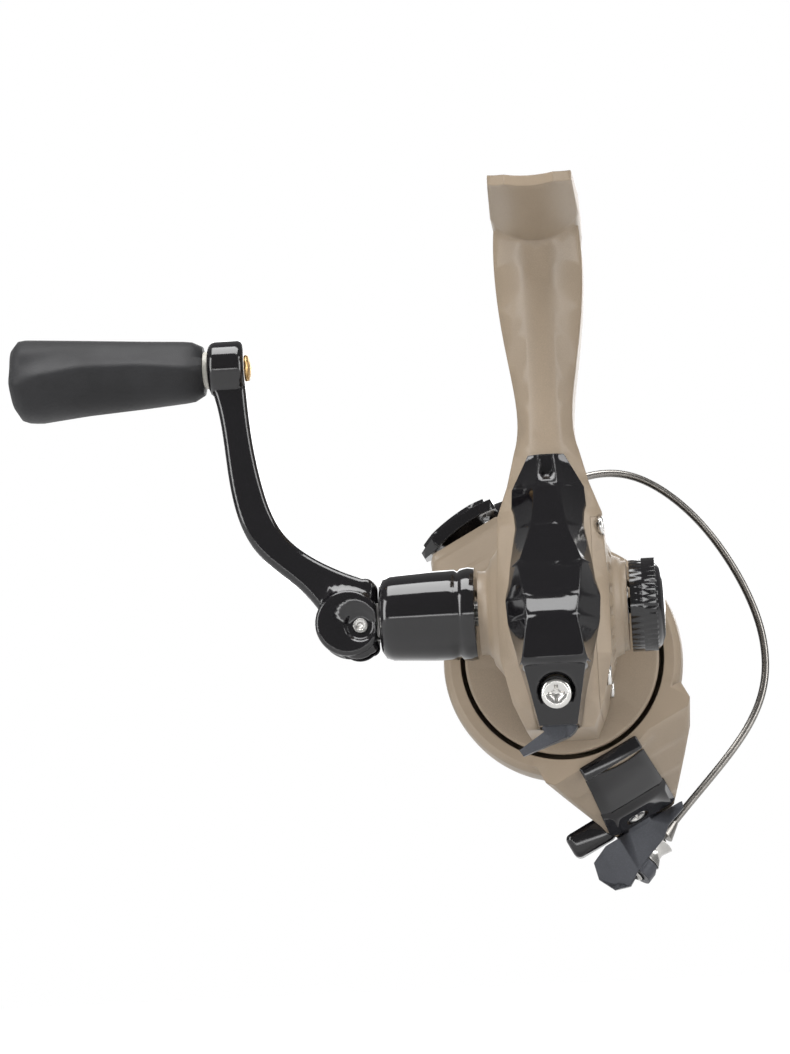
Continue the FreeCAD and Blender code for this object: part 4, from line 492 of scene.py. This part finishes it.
class REEL_OT_bail(ReelOperator, bpy.types.Operator):
    """Bail lever, holder and line roller"""
    bl_idname = "reel.bail"
    bl_label = "Bail"
    nodes = ("bail_arm", "bail_holder", "bail_pivot_screws", "line_roller", "line_roller_screw")


class REEL_OT_wire(bpy.types.Operator):
    """Bail wire in one smooth bend, with the cone at its root"""
    bl_idname = "reel.wire"
    bl_label = "Bail wire"
    bl_options = {"REGISTER", "UNDO"}

    def execute(self, context):
        radius = context.scene.reel_sizes.wire
        bend = bpy.data.curves.new("wire_line", "CURVE")
        bend.dimensions = "3D"
        bend.bevel_depth = radius
        bend.bevel_resolution = 5
        bend.resolution_u = 8
        bend.use_fill_caps = True
        spline = bend.splines.new("NURBS")
        spline.points.add(len(WIRE_POINTS) - 1)
        for point, place in zip(spline.points, WIRE_POINTS):
            point.co = (*(part / 1000 for part in place), 1.0)
        spline.order_u = 4
        spline.use_endpoint_u = True
        line = bpy.data.objects.new("wire_line", bend)
        mesh = bpy.data.meshes.new_from_object(line)
        bpy.data.objects.remove(line)
        work = bmesh.new()
        work.from_mesh(mesh)
        bpy.data.meshes.remove(mesh)
        along = Vector(WIRE_ROOT)
        middle = Vector(WIRE_POINTS[0]) / 1000 + along * CONE_MIDDLE
        turned = along.to_track_quat("Z", "Y").to_matrix().to_4x4()
        bmesh.ops.create_cone(work, cap_ends=True, segments=40, radius1=CONE_WIDE, radius2=CONE_NARROW,
                              depth=CONE_LENGTH, matrix=Matrix.Translation(middle) @ turned)
        add_piece("bail_wire_smooth", work, "bail_wire", "wire", BLOCK_SHARP_ANGLE)
        return {"FINISHED"}


class REEL_OT_spool(ReelOperator, bpy.types.Operator):
    """Spool, its lip, the line clip and the shaft"""
    bl_idname = "reel.spool"
    bl_label = "Spool"
    nodes = ("spool", "spool_lip", "line_clip", "main_shaft")


class REEL_OT_drag(ReelOperator, bpy.types.Operator):
    """Drag knob on the front of the spool"""
    bl_idname = "reel.drag"
    bl_label = "Drag knob"
    nodes = ("drag_knob",)


class REEL_OT_crank(ReelOperator, bpy.types.Operator):
    """Handle sleeve, fold joint, crank arm and its pins"""
    bl_idname = "reel.crank"
    bl_label = "Crank"
    nodes = ("handle_sleeve", "handle_shaft", "handle_joint", "handle_arm", "elbow_pin", "knob_shank",
             "knob_rivet", "knob_washer")
    angle = CRANK_SHARP_ANGLE


class REEL_OT_cap(ReelOperator, bpy.types.Operator):
    """Knurled screw cap on the right side"""
    bl_idname = "reel.cap"
    bl_label = "Screw cap"
    nodes = ("handle_screw_cap",)


class REEL_OT_knob(bpy.types.Operator):
    """Soft-touch grip: a flattened paddle with a soft ridge, a dished end and a bore"""
    bl_idname = "reel.knob"
    bl_label = "Grip"
    bl_options = {"REGISTER", "UNDO"}

    def execute(self, context):
        sizes = context.scene.reel_sizes
        low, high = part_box("handle_knob")
        start, reach = high.x, high.x - low.x
        axis = (0.0, (low.y + high.y) / 2, GRIP_AXIS_Z)
        work = bmesh.new()
        rings = [grip_bore(work, start - reach + BORE_WALL, axis), grip_bore(work, start, axis)]
        for i in range(sizes.rings + 1):
            share = (i / sizes.rings) ** GRIP_CROWDING
            rings.append(grip_ring(work, share, start, reach, sizes.ridge))
        for share, dish in GRIP_DISH:
            ring = grip_ring(work, 1.0, start, reach, sizes.ridge)
            centre = sum((v.co for v in ring), Vector()) / len(ring)
            bmesh.ops.scale(work, vec=(1, share, share), verts=ring, space=Matrix.Translation(-centre))
            bmesh.ops.translate(work, vec=(dish, 0, 0), verts=ring)
            rings.append(ring)
        edges = [[e for e in work.edges if e.verts[0] in ring and e.verts[1] in ring]
                 for ring in map(set, rings)]
        for first, second in zip(edges, edges[1:]):
            bmesh.ops.bridge_loops(work, edges=first + second)
        bmesh.ops.contextual_create(work, geom=edges[0])
        bmesh.ops.contextual_create(work, geom=edges[-1])
        bmesh.ops.recalc_face_normals(work, faces=work.faces)
        add_piece("soft_grip_paddle", work, "handle_knob", "soft_grip", GRIP_SHARP_ANGLE)
        return {"FINISHED"}


class REEL_OT_inside(bpy.types.Operator):
    """Finishes of the gears, bearings and other pieces inside the reel"""
    bl_idname = "reel.inside"
    bl_label = "Inside pieces"
    bl_options = {"REGISTER", "UNDO"}

    def execute(self, context):
        for name, node in frame["nodes"].items():
            slot = slot_of(name)
            for i in range(len(node.data.materials)):
                node.data.materials[i] = PAINTS[slot]
        return {"FINISHED"}


# ---- stage -----------------------------------------------------------------------

def area_light(name, place, target, size, power):
    lamp = bpy.data.lights.new(name, "AREA")
    lamp.shape = "RECTANGLE"
    lamp.size, lamp.size_y = size
    lamp.energy = power
    light = bpy.data.objects.new(name, lamp)
    bpy.context.scene.collection.objects.link(light)
    light.location = place
    light.rotation_euler = (Vector(place) - Vector(target)).to_track_quat("Z", "Y").to_euler()


def add_floor(drop):
    """Pale floor that looks white to the camera and stays dim in reflections."""
    work = bmesh.new()
    bmesh.ops.create_grid(work, x_segments=1, y_segments=1, size=FLOOR_SIZE,
                          matrix=Matrix.Translation((0, 0, -drop)))
    mesh = bpy.data.meshes.new("floor")
    work.to_mesh(mesh)
    work.free()
    net = Net("pale_floor")
    tone = net.between(net.noise(0.4, 3.0), (0.62, 0.62, 0.62), (0.66, 0.66, 0.66))
    seen = net.node("ShaderNodeLightPath", output="Is Camera Ray")
    glow = net.between(seen, (0.0, 0.0, 0.0), (FLOOR_GLOW, FLOOR_GLOW, FLOOR_GLOW))
    mesh.materials.append(net.surface(Base_Color=tone, Roughness=0.9, Emission_Color=glow,
                                      Emission_Strength=1.0))
    floor = bpy.data.objects.new("floor", mesh)
    bpy.context.scene.collection.objects.link(floor)


def add_world():
    """White surroundings, dimmer where they light the reel than where they are seen."""
    world = bpy.data.worlds.new("studio")
    world.use_nodes = True
    nodes, links = world.node_tree.nodes, world.node_tree.links
    path = nodes.new("ShaderNodeLightPath")
    level = nodes.new("ShaderNodeMapRange")
    level.inputs["To Min"].default_value = WORLD_LIT
    level.inputs["To Max"].default_value = WORLD_SEEN
    links.new(path.outputs["Is Camera Ray"], level.inputs["Value"])
    links.new(level.outputs["Result"], nodes["Background"].inputs["Strength"])
    nodes["Background"].inputs["Color"].default_value = (1, 1, 1, 1)
    bpy.context.scene.world = world


def add_camera(focal_length):
    """Camera a little to the right of the reel and below it, slightly rolled."""
    turn, rise, roll = CAMERA_TURN, CAMERA_RISE, CAMERA_ROLL
    ahead = Vector((-sin(turn) * cos(rise), cos(turn) * cos(rise), sin(rise)))
    right = Vector((cos(turn), sin(turn), 0.0))
    up = right.cross(ahead)
    across = right * cos(roll) - up * sin(roll)
    above = right * sin(roll) + up * cos(roll)
    lens = bpy.data.cameras.new("camera")
    lens.lens = focal_length
    camera = bpy.data.objects.new("camera", lens)
    bpy.context.scene.collection.objects.link(camera)
    facing = Matrix((across, above, -ahead)).transposed().to_4x4()
    camera.matrix_world = Matrix.Translation(CAMERA_PLACE) @ facing
    bpy.context.scene.camera = camera


class REEL_OT_stage(bpy.types.Operator):
    """Pale floor, soft lights and the camera"""
    bl_idname = "reel.stage"
    bl_label = "Stage"
    bl_options = {"REGISTER", "UNDO"}

    def execute(self, context):
        sizes = context.scene.reel_sizes
        add_floor(sizes.floor_drop)
        add_world()
        context.scene.view_settings.view_transform = "Standard"
        for light in LIGHTS:
            area_light(*light)
        add_camera(sizes.lens)
        return {"FINISHED"}


STEPS = (REEL_OT_frame, REEL_OT_switch, REEL_OT_rotor, REEL_OT_bail, REEL_OT_wire, REEL_OT_spool,
         REEL_OT_drag, REEL_OT_crank, REEL_OT_cap, REEL_OT_knob, REEL_OT_inside, REEL_OT_stage)


class REEL_PT_panel(bpy.types.Panel):
    """Sizes, colours and steps of the reel"""
    bl_label = "Spinning Reel"
    bl_idname = "REEL_PT_panel"
    bl_space_type = "VIEW_3D"
    bl_region_type = "UI"
    bl_category = "Reel"

    def draw(self, context):
        for group in (context.scene.reel_sizes, context.scene.reel_colours):
            for name in group.bl_rna.properties.keys():
                if name not in ("rna_type", "name"):
                    self.layout.prop(group, name)
        for step in STEPS:
            self.layout.operator(step.bl_idname)


CLASSES = (ReelColours, ReelSizes, *STEPS, REEL_PT_panel)


def register():
    for cls in CLASSES:
        bpy.utils.register_class(cls)
    bpy.types.Scene.reel_colours = PointerProperty(type=ReelColours)
    bpy.types.Scene.reel_sizes = PointerProperty(type=ReelSizes)


def unregister():
    del bpy.types.Scene.reel_colours
    del bpy.types.Scene.reel_sizes
    for cls in reversed(CLASSES):
        bpy.utils.unregister_class(cls)


PAINTS = {}


def main():
    register()
    PAINTS.update(finishes())
    bpy.ops.reel.frame()
    bpy.ops.reel.switch()
    bpy.ops.reel.rotor()
    bpy.ops.reel.bail()
    bpy.ops.reel.wire()
    bpy.ops.reel.spool()
    bpy.ops.reel.drag()
    bpy.ops.reel.crank()
    bpy.ops.reel.cap()
    bpy.ops.reel.knob()
    bpy.ops.reel.inside()
    bpy.ops.reel.stage()


if __name__ == "__main__":
    main()
